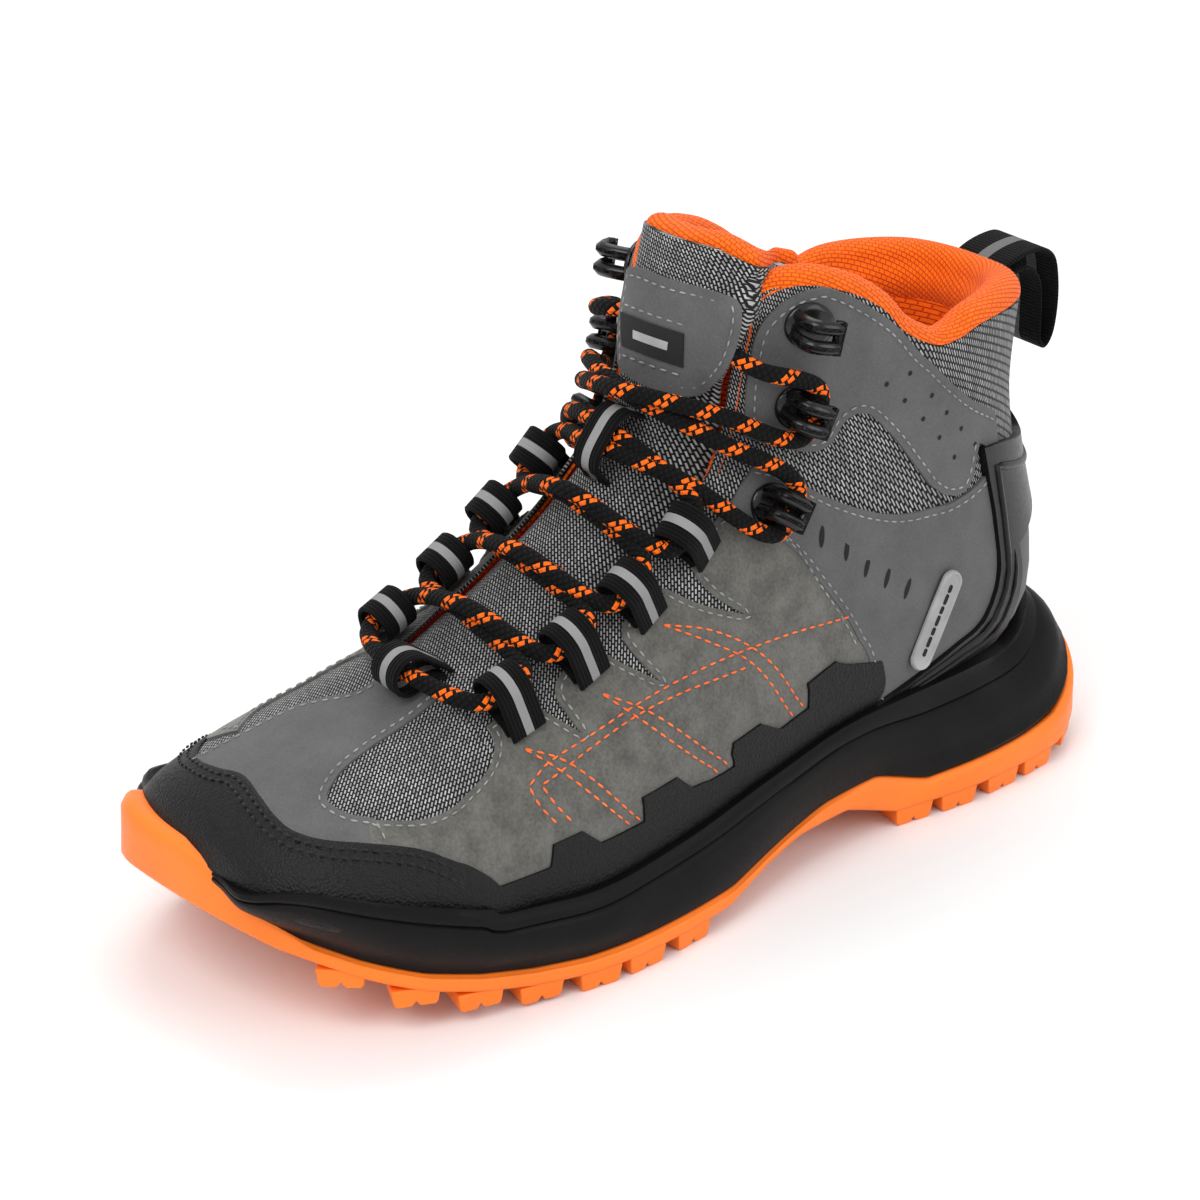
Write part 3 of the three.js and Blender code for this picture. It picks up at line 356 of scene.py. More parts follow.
def smoothTable(points, x):
    # A smooth function through the points of a table
    xs, ys = np.array(points, float).T
    gaps = np.diff(xs)
    rises = np.diff(ys) / gaps
    slopes = np.empty(len(xs))
    slopes[0], slopes[-1] = rises[0], rises[-1]
    slopes[1:-1] = (rises[:-1] * gaps[1:] + rises[1:] * gaps[:-1]) / (gaps[:-1] + gaps[1:])
    x = np.clip(x, xs[0], xs[-1])
    i = np.clip(np.searchsorted(xs, x, side="right") - 1, 0, len(xs) - 2)
    span = gaps[i]
    t = (x - xs[i]) / span
    rise = t * t * (3 - 2 * t)
    bend = (t**3 - 2 * t**2 + t) * slopes[i] + (t**3 - t**2) * slopes[i + 1]
    return ys[i] * (1 - rise) + ys[i + 1] * rise + bend * span


def straightTable(points, x):
    xs, ys = np.array(points, float).T
    return np.interp(x, xs, ys)


def smoothStep(x, low, high):
    t = np.clip((x - low) / (high - low), 0, 1)
    return t * t * (3 - 2 * t)


def unit(rows):
    return rows / np.maximum(np.linalg.norm(rows, axis=1, keepdims=True), 1e-9)


def reachAlong(line):
    # The distance along a line to each of its points
    return np.concatenate([[0], np.cumsum(np.linalg.norm(np.diff(line, axis=0), axis=1))])


def stepOf(t, count):
    # Which of count rows a share of the way falls on
    return np.round(t * (count - 1)).astype(int)


def corners(points):
    # Straight strokes from corner to corner
    return [list(pair) for pair in zip(points, points[1:])]


def tracedLine(line):
    line = np.array(line, float)
    reach = reachAlong(line)
    at = np.linspace(0, reach[-1], 501)
    return np.stack([smoothTable(list(zip(reach, line[:, k])), at) for k in (0, 1)], 1)


def sectionEnds(line, s, toeOnly):
    # The point of a profile line in each section plane
    py, pz = last["pivot"]
    points = tracedLine(line)
    fan = points[points[:, 0] > py - 5]
    angles = np.arctan2(fan[:, 0] - py, pz - fan[:, 1])
    reach = np.hypot(fan[:, 0] - py, pz - fan[:, 1])
    order = np.argsort(angles)
    turn = (s - 1) * math.pi / 2
    r = np.interp(turn, angles[order], reach[order])
    flat = points[(points[:, 0] < 0) & (points[:, 1] < 44.5)] if toeOnly else points
    order = np.argsort(flat[:, 0], kind="stable")
    y = last["toe"] + (py - last["toe"]) * (1 - np.cos(np.minimum(s, 1) * math.pi / 2))
    z = np.interp(y, flat[order, 0], flat[order, 1])
    early = s <= 1
    return np.where(early, y, py + r * np.sin(turn)), np.where(early, z, pz - r * np.cos(turn))


def lastGrid(countS, countV):
    s = np.linspace(0, 2, countS)
    v = np.linspace(-1, 1, countV)
    topY, topZ = sectionEnds(last["instep"], s, False)
    lowY, lowZ = sectionEnds(last["under"], s, True)
    cos = np.cos(np.abs(v) * math.pi)[None, :]
    sin = np.abs(np.sin(np.abs(v) * math.pi))[None, :]
    widest = smoothTable(last["widest"], s)[:, None]
    upper, lower = (2 / smoothTable(last[key], s)[:, None] for key in ("topPower", "lowPower"))
    power = np.where(cos >= 0, upper, lower)
    above, below = widest * (1 - np.abs(cos) ** power), widest + (1 - widest) * np.abs(cos) ** power
    down = np.where(cos >= 0, above, below)
    lateral, medial = (smoothTable(last[key], s)[:, None] for key in ("lateral", "medial"))
    half = np.where(v[None, :] >= 0, lateral, medial)
    x = half * sin ** power * np.where(v[None, :] < 0, -1, 1)
    y = topY[:, None] + (lowY - topY)[:, None] * down
    z = topZ[:, None] + (lowZ - topZ)[:, None] * down
    points = np.stack([x, y, z], -1)
    alongS = np.gradient(points, axis=0)
    wrapped = np.concatenate([points[:, -2:-1], points, points[:, 1:2]], 1)
    alongV = np.gradient(wrapped, axis=1)[:, 1:-1]
    normals = np.cross(alongV, alongS)
    normals /= np.maximum(np.linalg.norm(normals, axis=2, keepdims=True), 1e-9)
    return points, normals


lastPoints, lastNormals = lastGrid(501, 601)


def look(grid, s, v):
    rows, columns = grid.shape[0] - 1, grid.shape[1] - 1
    a = np.clip(s, 0, 2) / 2 * rows
    b = ((v + 1) % 2) / 2 * columns
    i = np.minimum(a.astype(int), rows - 1)
    j = np.minimum(b.astype(int), columns - 1)
    fa, fb = (a - i)[:, None], (b - j)[:, None]
    top = grid[i, j] * (1 - fb) + grid[i, j + 1] * fb
    low = grid[i + 1, j] * (1 - fb) + grid[i + 1, j + 1] * fb
    return top * (1 - fa) + low * fa


def onLast(s, v, height=0.0):
    # Points at a height over the last, with the outward directions there, in millimetres
    s, v, height = (np.array(a, float) for a in np.broadcast_arrays(s, v, height))
    s, v, height = s.ravel(), v.ravel(), height.ravel()
    normals = unit(look(lastNormals, s, v))
    points = look(lastPoints, s, v)
    x, y, z = points.T
    swell = 0.22 * np.sin(y * 0.13 + z * 0.09) * np.sin(z * 0.17 - x * 0.06)   # a little unevenness
    return points + normals * (height + swell)[:, None], normals


def mirrorV(v):
    # The same place on the medial side
    v = np.asarray(v, float)
    return -v + 2 * laceLine * np.clip((0.5 - v) / 0.3, 0, 1)


# Curves
def smoothStroke(points, step):
    # Points at even steps along a smooth curve through a few chosen ones
    points = np.array(points, float)
    if len(points) == 2:
        count = max(int(np.linalg.norm(points[1] - points[0]) / step), 1)
        return points[0] + (points[1] - points[0]) * np.linspace(0, 1, count + 1)[:, None]
    gaps = np.sqrt(np.linalg.norm(np.diff(points, axis=0), axis=1))
    knots = np.concatenate([[0], np.cumsum(gaps)])
    at = np.linspace(0, knots[-1], 40 * len(points))
    dense = np.stack([smoothTable(list(zip(knots, points[:, k])), at) for k in range(points.shape[1])], 1)
    return evenly(dense, step)


def evenly(dense, step=None, count=None):
    reach = reachAlong(dense)
    if count is None:
        count = max(int(round(reach[-1] / step)), 1)
    at = np.linspace(0, reach[-1], count + 1)
    return np.stack([np.interp(at, reach, dense[:, k]) for k in range(dense.shape[1])], 1)


patternScale = np.array([150.0, 120.0])   # about how many millimetres one unit of s and of v covers


def patternLine(strokes, step=2.0, medial=False):
    # Strokes of (s, v) joined at their ends; each one is smooth in itself
    runs = []
    for stroke in strokes:
        run = smoothStroke(np.array(stroke, float) * patternScale, step) / patternScale
        runs.append(run if not runs else run[1:])
    line = np.concatenate(runs)
    if medial:
        line[:, 1] = mirrorV(line[:, 1])
    return line


# Making pieces
def finishPiece(name, bm, material, body="boot", replaces=()):
    for face in bm.faces:
        face.smooth = True
    mesh = bpy.data.meshes.new(name)
    bm.to_mesh(mesh)
    bm.free()
    piece = bpy.data.objects.new(name, mesh)
    bpy.context.scene.collection.objects.link(piece)
    mesh.materials.append(finish[material])
    if body:
        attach(piece, body)
    if replaces:
        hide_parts(*replaces)
    return piece


def sharpBy(piece, degrees):
    piece.data.set_sharp_from_angle(angle=math.radians(degrees))


def thicken(piece, thickness, bevel=0.35):
    solid = piece.modifiers.new("thickness", "SOLIDIFY")
    solid.thickness = thickness * mm
    solid.offset = -1
    soften(piece, bevel)


def soften(piece, bevel, degrees=50):
    softEdge = piece.modifiers.new("softEdge", "BEVEL")
    softEdge.width = bevel * mm
    softEdge.segments = 2
    softEdge.limit_method = "ANGLE"
    softEdge.angle_limit = math.radians(degrees)
    softEdge.harden_normals = True


def sideMap(points):
    return points[:, 1:3]


def topMap(points):
    return points[:, 0:2]


def gridPiece(name, columns, rows, place, material, body="boot", replaces=(), around=False, ends=False,
              mapped=None, flip=False):
    # A sheet shaped by place(t, u), with t along it and u across it; around closes it into a tube
    bm = bmesh.new()
    bmesh.ops.create_grid(bm, x_segments=columns, y_segments=rows, size=0.5)
    bm.verts.ensure_lookup_table()
    flat = np.array([v.co[:2] for v in bm.verts]) + 0.5
    points = place(flat[:, 0], flat[:, 1])
    spread = mapped(flat[:, 0], flat[:, 1], points) if mapped else sideMap(points)
    uv = bm.loops.layers.uv.new("map")
    for vert, point in zip(bm.verts, points):
        vert.co = point * mm
    for face in bm.faces:
        for loop in face.loops:
            loop[uv].uv = spread[loop.vert.index] * mm
    if around:
        bmesh.ops.remove_doubles(bm, verts=bm.verts, dist=1e-6)
        if ends:
            bmesh.ops.holes_fill(bm, edges=[e for e in bm.edges if e.is_boundary], sides=0)
        bmesh.ops.recalc_face_normals(bm, faces=bm.faces)
    if flip:
        bmesh.ops.reverse_faces(bm, faces=bm.faces)
    return finishPiece(name, bm, material, body, replaces)


def cutBm(line, height, cell=(3.0, 3.0), mapped=sideMap):
    # A flat outline cut into small faces and laid on the last
    bm = bmesh.new()
    flat = line * patternScale
    if np.linalg.norm(flat[0] - flat[-1]) < 1e-6:
        flat = flat[:-1]
    area = 0.5 * np.sum(flat[:, 0] * np.roll(flat[:, 1], -1) - np.roll(flat[:, 0], -1) * flat[:, 1])
    if area > 0:
        flat = flat[::-1]
    bm.faces.new([bm.verts.new((x, y, 0)) for x, y in flat])
    low, high = flat.min(0), flat.max(0)
    for axis in (0, 1):
        normal = (1, 0, 0) if axis == 0 else (0, 1, 0)
        for at in np.arange(low[axis] + cell[axis], high[axis] - 0.2 * cell[axis], cell[axis]):
            geometry = bm.verts[:] + bm.edges[:] + bm.faces[:]
            bmesh.ops.bisect_plane(bm, geom=geometry, dist=1e-5, plane_co=Vector(normal) * at,
                                   plane_no=normal)
    bm.verts.index_update()
    bm.verts.ensure_lookup_table()
    where = np.array([v.co[:2] for v in bm.verts]) / patternScale
    lifts = height(where[:, 0], where[:, 1]) if callable(height) else height
    points, _ = onLast(where[:, 0], where[:, 1], lifts)
    spread = mapped(points)
    uv = bm.loops.layers.uv.new("map")
    for face in bm.faces:
        for loop in face.loops:
            loop[uv].uv = spread[loop.vert.index] * mm
    for vert, point in zip(bm.verts, points):
        vert.co = point * mm
    return bm


def cutPiece(name, strokes, height, thickness, material, body="boot", replaces=(), medial=False,
             cell=(3.0, 3.0), mapped=sideMap, bevel=0.35):
    line = patternLine(strokes, medial=medial)
    piece = finishPiece(name, cutBm(line, height, cell, mapped), material, body, replaces)
    thicken(piece, thickness, bevel)
    return piece


def seamPath(strokes, inset, height=0.0, medial=False):
    # A line on the upper, moved to its left by the inset, or to its right by a negative one
    line = patternLine(strokes, 1.0, medial)
    points, normals = onLast(line[:, 0], line[:, 1], height)
    if inset:
        side = np.cross(normals, unit(np.gradient(points, axis=0)))
        for _ in range(3):
            side[1:-1] = (side[:-2] + side[1:-1] * 2 + side[2:]) / 4
        points = points + unit(side) * (-inset if medial else inset)
    return points, normals


def stitches(name, paths, material, body="boot", length=2.3, pitch=3.1, width=0.62, rise=0.05):
    # Every stitch is one small grain that lies along its seam
    bm = bmesh.new()
    for points, normals in paths:
        reach = reachAlong(points)
        count = int(reach[-1] / pitch)
        for i in range(count):
            at = (i + 0.5) * reach[-1] / max(count, 1)
            here = np.array([np.interp(at, reach, points[:, k]) for k in range(3)])
            ahead = np.array([np.interp(at + 0.8, reach, points[:, k]) for k in range(3)])
            behind = np.array([np.interp(at - 0.8, reach, points[:, k]) for k in range(3)])
            up = np.array([np.interp(at, reach, normals[:, k]) for k in range(3)])
            x = Vector(ahead - behind).normalized()
            z = Vector(up).normalized()
            y = z.cross(x).normalized()
            z = x.cross(y)
            seat = Matrix((x * length / 2, y * width / 2, z * width / 2)).transposed().to_4x4()
            seat.translation = Vector(here) + z * rise
            bmesh.ops.create_icosphere(bm, subdivisions=1, radius=1.0, matrix=Matrix.Scale(mm, 4) @ seat)
    return finishPiece(name, bm, material, body)


bandStep = 0.8


def bandPiece(name, centre, sides, width, thickness, material, slot, body="boot", replaces=(),
              rounding=0.5):
    # A flat band swept along a centre line; sides gives the direction across it at each point
    centre = np.array(centre, float)
    sides = np.array(sides, float)
    if sides.ndim == 1:
        sides = np.repeat(sides[None], len(centre), 0)
    both = np.concatenate([centre, sides], 1)
    dense = smoothStroke(both, bandStep) if len(centre) > 2 else both
    line, across = dense[:, :3], dense[:, 3:]
    across = unit(across)
    up = unit(np.cross(unit(np.gradient(line, axis=0)), across))
    reach = reachAlong(line)
    halfW, halfT = width / 2, thickness / 2
    r = min(rounding, halfT * 0.95)
    section = [(-halfW, -halfT + r), (-halfW, halfT - r), (-halfW + r, halfT)]
    section += [(x, halfT) for x in np.linspace(-halfW + 2 * r, halfW - 2 * r, 5)]
    section += [(halfW - r, halfT), (halfW, halfT - r), (halfW, -halfT + r), (halfW - r, -halfT)]
    section += [(x, -halfT) for x in np.linspace(halfW - 2 * r, -halfW + 2 * r, 5)]
    section += [(-halfW + r, -halfT), (-halfW, -halfT + r)]
    section = np.array(section)

    def place(t, u):
        i = stepOf(t, len(line))
        j = stepOf(u, len(section))
        return line[i] + across[i] * section[j, 0:1] + up[i] * section[j, 1:2]

    def mapped(t, u, points):
        i = stepOf(t, len(line))
        j = stepOf(u, len(section))
        return np.stack([reach[i], section[j, 0]], 1)

    return gridPiece(name, len(line) - 1, len(section) - 1, place, material, body, replaces,
                     around=True, ends=True, mapped=mapped)


# The lace
laceRoute = [
    (-15, 8, 100), (-9.5, 14.5, 115), (-6, 18.5, 133), (-4.5, 20.5, 144), (-9, 15.5, 150.5),
    (-16, 6.5, 153.5), (-25, 7, 151), (-33, 21.5, 144), (-31.5, 16.5, 131), (-18.5, -1, 140),
    (5, -7.5, 139.5), (27, 6, 128.5), (36.5, 26, 113), (38, 17.5, 102), (24.5, -5, 119.5), (5, -17, 126.5),
    (-21.5, -11.5, 119.5), (-22, -21, 110), (4, -26, 113.5), (30, -22.5, 101.5), (31, -34.5, 94.5),
    (5, -46, 104.5), (-19, -45, 97), (-19, -57, 90.5), (4.5, -61, 89), (30.5, -63.5, 82.5),
    (29.5, -76.5, 78.5), (5.5, -84.5, 81.5), (-18, -77.5, 82), (-18.5, -65, 87), (5, -63.5, 93.5),
    (30.5, -54.5, 86), (30.5, -42, 91.5), (4, -43, 100), (-20.5, -38.5, 100), (-20, -27.5, 107.5),
    (5, -29.5, 117.5), (31.5, -14.5, 104.5), (30, -4.5, 113), (5, -14, 130.5), (-16.5, -9, 127.5),
    (-31.5, 5.5, 110), (-31, 14, 121), (-20, -2, 133.5), (6, -11.5, 141.5), (26, 6, 136),
    (36, 27.5, 126.5), (37.5, 32.5, 139.5), (31.5, 15.5, 148), (22.5, 12, 152), (13.5, 19, 149.5),
    (8, 24, 143), (10.5, 24.5, 130), (14.5, 23, 108), (21, 16, 91.5),
]
laceSize = {"diameter": 4.8, "sides": 14, "step": 1.6, "length": 1.146}


def makeLace():
    path = smoothStroke(laceRoute, laceSize["step"])
    along = unit(np.gradient(path, axis=0))
    side = np.cross(along[0], (0, 0, 1.0))
    sideways = []
    for direction in along:   # the frame is carried along without turning about the cord
        side = side - direction * side.dot(direction)
        side = side / np.linalg.norm(side)
        sideways.append(side)
    sideways = np.array(sideways)
    upwards = np.cross(along, sideways)
    reach = reachAlong(path)
    radius = laceSize["diameter"] / 2

    def place(t, u):
        i = stepOf(t, len(path))
        turn = (u * 2 * math.pi)[:, None]
        return path[i] + radius * (np.cos(turn) * sideways[i] + np.sin(turn) * upwards[i])

    def mapped(t, u, points):
        i = stepOf(t, len(path))
        return np.stack([reach[i], u / mm], 1)

    piece = gridPiece("laceBraid", len(path) - 1, laceSize["sides"], place, "cord",
                      replaces=("lace",), around=True, ends=True, mapped=mapped)
    return piece, path, reach[-1]


lace, lacePath, laceLength = makeLace()
print("lace made, length", round(laceLength))


# Textile shell and lining
collar = {
    "edge": [(0.19, 1.86), (0.22, 1.895), (0.265, 1.915), (0.32, 1.918), (0.365, 1.91), (0.4, 1.9),
             (0.443, 1.88), (0.476, 1.855), (0.515, 1.842), (0.555, 1.848), (0.6, 1.86), (0.75, 1.872),
             (1, 1.872)],
    "front": [(1.06, 0.15), (1.5, 0.185), (1.62, 0.2), (1.86, 0.2)],
    "back": [(1.06, 0.78), (1.42, 0.78), (1.5, 0.86), (1.56, 1.0), (2, 1.0)],
    "frontRoll": 4.6,
    "topRoll": 10.5,
}
meshHeight = -0.9
quarter = {"bottom": 1.065, "top": 1.87, "underRoll": 0.012}
vamp = {"start": 0.2, "shell": 0.87, "lining": 0.86, "side": 0.76, "liningHeight": -3.6}
clothThickness = 1.0


def quarterPlace(t, u):
    bottom = quarter["bottom"]
    guide = bottom + (quarter["top"] - bottom) * t
    front = straightTable(collar["front"], guide)
    v = front + (straightTable(collar["back"], guide) - front) * u
    return bottom + (smoothTable(collar["edge"], v) - quarter["underRoll"] - bottom) * t, v


def quarterSheet(medial):
    def place(t, u):
        s, v = quarterPlace(t, u)
        return onLast(s, mirrorV(v) if medial else v, meshHeight)[0]
    return place


def quarterMap(t, u, points):
    s, v = quarterPlace(t, u)
    return np.stack([v * (150 + 60 * (s - 1)), s * 165], 1)


for side in ("lateral", "medial"):
    shell = gridPiece("quarterTextile." + side, 90, 70, quarterSheet(side == "medial"), "weave",
                      replaces=("quarter_mesh_" + side,), flip=side == "lateral", mapped=quarterMap)
    thicken(shell, clothThickness)


def vampSheet(t, u):
    return onLast(vamp["start"] + vamp["shell"] * t, vamp["side"] * (2 * u - 1), meshHeight)[0]


vampCloth = gridPiece("vampTextile", 50, 90, vampSheet, "weave", replaces=("vamp_mesh",),
                      mapped=lambda t, u, points: topMap(points), flip=True)
thicken(vampCloth, clothThickness)


def collarPath(count):
    # Up the lateral front edge, round the heel and down the medial front edge, as (s, v)
    edge = np.array(collar["edge"])
    lateral = [(1.6, 0.197), (1.7, 0.2), (1.8, 0.2), (1.835, 0.2)]
    top = [(s, v) for v, s in edge]
    half = smoothStroke(np.array(lateral + top) * patternScale, 1.0) / patternScale
    mirrored = half[::-1].copy()
    mirrored[:, 1] = mirrorV(mirrored[:, 1])
    beyond = np.where(mirrored[:, 1] < 0, mirrored[:, 1] + 2, mirrored[:, 1])
    beyond[beyond < 0.9] += 2
    mirrored[:, 1] = beyond
    return evenly(np.concatenate([half, mirrored[1:]]) * patternScale, count=count) / patternScale


rollPath = collarPath(420)


def rollDepth(s, v):
    fromInstep = np.abs(((v + 1) % 2) - 1)
    top = smoothStep(s, 1.80, 1.86)
    heel = smoothStep(fromInstep, 0.5, 0.8)
    return collar["frontRoll"] + (collar["topRoll"] - collar["frontRoll"]) * top * (0.75 + 0.35 * heel)


def edgeFrames(path):
    points, normals = onLast(path[:, 0], path[:, 1], 0.0)
    away = unit(np.cross(unit(np.gradient(points, axis=0)), normals))
    for _ in range(6):
        away[1:-1] = (away[:-2] + 2 * away[1:-1] + away[2:]) / 4
    return points, normals, away


rollPoints, rollNormals, rollAway = edgeFrames(rollPath)
if rollAway[len(rollAway) // 2][2] < 0:
    rollAway = -rollAway


def collarRoll(t, u):
    # From the outer face over the padded edge and down inside
    i = stepOf(t, len(rollPath))
    depth = rollDepth(rollPath[i, 0], rollPath[i, 1])
    turn = (np.clip(u / 0.6, 0, 1) * math.pi)
    radius = depth / 2
    out = -radius - 0.9 + radius * np.cos(turn)
    up = radius * np.sin(turn) - 3.0
    inside = np.clip((u - 0.6) / 0.4, 0, 1)
    swell = 2.2 * np.sin(inside * math.pi)
    return rollPoints[i] + rollNormals[i] * (out - swell)[:, None] + rollAway[i] * (up - inside * 12)[:, None]


def rollMap(t, u, points):
    return np.stack([t * 460, u * 32], 1)


roll = gridPiece("collarRoll", 420, 26, collarRoll, "lining",
                 replaces=("collar_pad_lateral", "collar_pad_medial"), mapped=rollMap)


shaft = {"front": 0.2, "wrap": 1.66, "bottom": 1.02, "height": -3.4, "pad": 7.5, "heelPad": 2.0}


def shaftLining(t, u):
    # Inside of the boot, from below the roll down to the footbed
    v = shaft["front"] + shaft["wrap"] * u
    around = np.abs(((v + 1) % 2) - 1)
    top = smoothTable(collar["edge"], np.clip(around, 0.19, 1)) - 0.03
    s = top + (shaft["bottom"] - top) * t
    pad = shaft["pad"] * smoothStep(s, 1.6, 1.72)
    heelPad = shaft["heelPad"] * smoothStep(around, 0.55, 0.85) * smoothStep(s, 1.7, 1.8)
    return onLast(s, v, shaft["height"] - pad - heelPad)[0]


inner = gridPiece("shaftLining", 90, 120, shaftLining, "lining",
                  replaces=("quarter_lining_lateral", "quarter_lining_medial"), flip=True)
thicken(inner, clothThickness)


def vampLining(t, u):
    return onLast(vamp["start"] + vamp["lining"] * t, vamp["side"] * (2 * u - 1), vamp["liningHeight"])[0]


gridPiece("vampLining", 24, 50, vampLining, "lining", replaces=("vamp_lining",),
          mapped=lambda t, u, points: topMap(points))


bed = {"toe": 0.3, "length": 1.12, "halfWidth": 0.17, "height": -7.6, "rim": 2.6, "thick": 4.0}


def footbedSheet(t, u):
    v = 1 + bed["halfWidth"] * (2 * u - 1)
    rim = bed["rim"] * np.abs(2 * u - 1) ** 3
    return onLast(bed["toe"] + bed["length"] * t, v, bed["height"] - rim)[0]


footbed = gridPiece("footbedCloth", 70, 24, footbedSheet, "lining", body="footbed",
                    replaces=("footbed",), mapped=lambda t, u, points: topMap(points))
thicken(footbed, bed["thick"], 0.8)
print("shell and lining made")


# Overlays
toeEdge = [(1.04, -0.62), (1.0, -0.46), (0.86, -0.38), (0.72, -0.3), (0.56, -0.22), (0.51, -0.1),
           (0.53, -0.04), (0.49, 0.05), (0.465, 0.12), (0.475, 0.18), (0.54, 0.23), (0.65, 0.27),
           (0.80, 0.325), (0.9, 0.385), (0.99, 0.45), (1.045, 0.53), (1.05, 0.62)]


toeCap = {"start": 0.035, "side": 0.62, "height": 0.15, "overRand": 1.05}


def toeSheet(t, u):
    # Its ends ride up over the rand, and its back edge is rolled down a little
    v = toeCap["side"] * (2 * t - 1)
    edge = smoothTable([(b, a) for a, b in toeEdge], v)
    s = toeCap["start"] + (edge - toeCap["start"]) * u
    raised = toeCap["overRand"] * smoothStep(np.abs(v), 0.36, 0.45) * smoothStep(s, 0.7, 0.95)
    return onLast(s, v, toeCap["height"] + raised - 0.5 * smoothStep(u, 0.97, 1.0))[0]


cap = gridPiece("toeCapLeather", 140, 44, toeSheet, "leather", replaces=("toe_cap",))
thicken(cap, 1.2)

strip = {
    "outline": [
        [(0.50, -0.22), (0.60, -0.185), (0.685, -0.156), (0.876, -0.114), (0.99, -0.045), (1.06, -0.03)],
        [(1.06, -0.03), (1.06, 0.085)],
        [(1.06, 0.085), (0.86, 0.087), (0.72, 0.105), (0.64, 0.145), (0.66, 0.19), (0.72, 0.225)],
        [(0.72, 0.225), (0.68, 0.29), (0.56, 0.26), (0.44, 0.18), (0.43, 0.05), (0.48, -0.1), (0.50, -0.22)],
    ],
}
cutPiece("vampStripLeather", strip["outline"], -0.1, 1.1, "nubuck", replaces=("vamp_strip",),
         mapped=topMap, cell=(3.5, 3.5))

suede = {
    # Fingers of suede between the loops, then the back edge, the sole edge and the toe
    "outline": [
        [(1.04, 0.66), (1.0, 0.52), (0.92, 0.42), (0.80, 0.355), (0.66, 0.295), (0.70, 0.225)],
        [(0.70, 0.225), (0.86, 0.272), (0.98, 0.27), (1.05, 0.245), (1.078, 0.215), (1.083, 0.185)],
        [(1.083, 0.185), (1.12, 0.186), (1.155, 0.205), (1.17, 0.24), (1.192, 0.296)],
        [(1.192, 0.296), (1.192, 0.262), (1.195, 0.225), (1.212, 0.208), (1.26, 0.207), (1.293, 0.222)],
        [(1.293, 0.222), (1.305, 0.262), (1.33, 0.325)],
        [(1.33, 0.325), (1.328, 0.28), (1.335, 0.236), (1.36, 0.224), (1.40, 0.225), (1.432, 0.242)],
        [(1.432, 0.242), (1.445, 0.29), (1.475, 0.352)],
        [(1.475, 0.352), (1.468, 0.30), (1.478, 0.256), (1.505, 0.243), (1.56, 0.242), (1.583, 0.258)],
        [(1.583, 0.258), (1.586, 0.33), (1.56, 0.40), (1.53, 0.50), (1.5, 0.66)],
        [(1.5, 0.66), (1.3, 0.66), (1.04, 0.66)],
    ],
    "arcs": [
        [(1.545, 0.458), (1.488, 0.415), (1.404, 0.365), (1.3, 0.326), (1.197, 0.306), (1.121, 0.298),
         (1.083, 0.312)],
        [(1.427, 0.404), (1.343, 0.359), (1.274, 0.334), (1.19, 0.322), (1.10, 0.322)],
        [(1.083, 0.312), (1.085, 0.35), (1.098, 0.398)],
        [(1.10, 0.322), (1.105, 0.36), (1.118, 0.408)],
        [(1.106, 0.253), (1.135, 0.32), (1.19, 0.476)],
        [(1.106, 0.253), (1.15, 0.315), (1.205, 0.482)],
        [(1.251, 0.27), (1.275, 0.35), (1.32, 0.504)],
        [(1.251, 0.27), (1.29, 0.345), (1.335, 0.504)],
        [(1.388, 0.27), (1.415, 0.335), (1.434, 0.40), (1.427, 0.515)],
        [(1.388, 0.27), (1.43, 0.33), (1.45, 0.40), (1.442, 0.515)],
    ],
}
# The seam follows the outline, except along the sole edge
suede["seams"] = [[(0.69, 0.285), (0.70, 0.225)]] + suede["outline"][1:8] + [suede["outline"][8][:4]]
rand = {
    "outline": [
        [(1.0, 0.68), (1.0, 0.53), (0.965, 0.462)],
    ] + corners([
        (0.965, 0.462), (1.072, 0.468), (1.083, 0.428), (1.126, 0.432), (1.146, 0.472), (1.208, 0.486),
        (1.218, 0.444), (1.272, 0.458), (1.284, 0.499), (1.34, 0.509), (1.354, 0.482), (1.394, 0.492),
        (1.408, 0.514), (1.445, 0.52), (1.462, 0.496), (1.50, 0.50), (1.528, 0.54),
    ]) + [
        [(1.528, 0.54), (1.50, 0.64), (1.46, 0.70)],
        [(1.46, 0.70), (1.25, 0.70), (1.0, 0.68)],
    ],
}
strap = {
    "outline": [
        [(1.565, 0.25), (1.60, 0.243), (1.645, 0.252)],
        [(1.645, 0.252), (1.65, 0.28), (1.645, 0.36), (1.655, 0.44), (1.69, 0.53), (1.715, 0.60)],
        [(1.715, 0.60), (1.62, 0.64), (1.5, 0.70)],
        [(1.5, 0.70), (1.50, 0.60), (1.53, 0.50), (1.556, 0.40), (1.575, 0.33), (1.565, 0.25)],
    ],
    "slots": [(1.602, 0.359), (1.602, 0.393), (1.597, 0.426), (1.597, 0.455), (1.597, 0.484)],
}
panel = {
    "outline": [
        [(1.675, 0.232), (1.76, 0.228), (1.835, 0.232), (1.868, 0.255), (1.893, 0.292), (1.902, 0.330)],
        [(1.902, 0.330), (1.893, 0.365), (1.855, 0.448), (1.812, 0.505), (1.782, 0.580), (1.770, 0.66)],
        [(1.770, 0.66), (1.738, 0.66), (1.742, 0.60)],
        [(1.742, 0.60), (1.70, 0.548), (1.690, 0.50), (1.704, 0.48), (1.732, 0.448), (1.750, 0.412),
         (1.736, 0.382), (1.702, 0.354), (1.687, 0.326), (1.679, 0.276), (1.675, 0.232)],
    ],
    "holes": [(1.786, 0.443), (1.771, 0.469), (1.755, 0.493), (1.740, 0.512), (1.725, 0.533),
              (1.801, 0.476), (1.780, 0.504), (1.765, 0.530), (1.752, 0.558), (1.740, 0.586)],
}


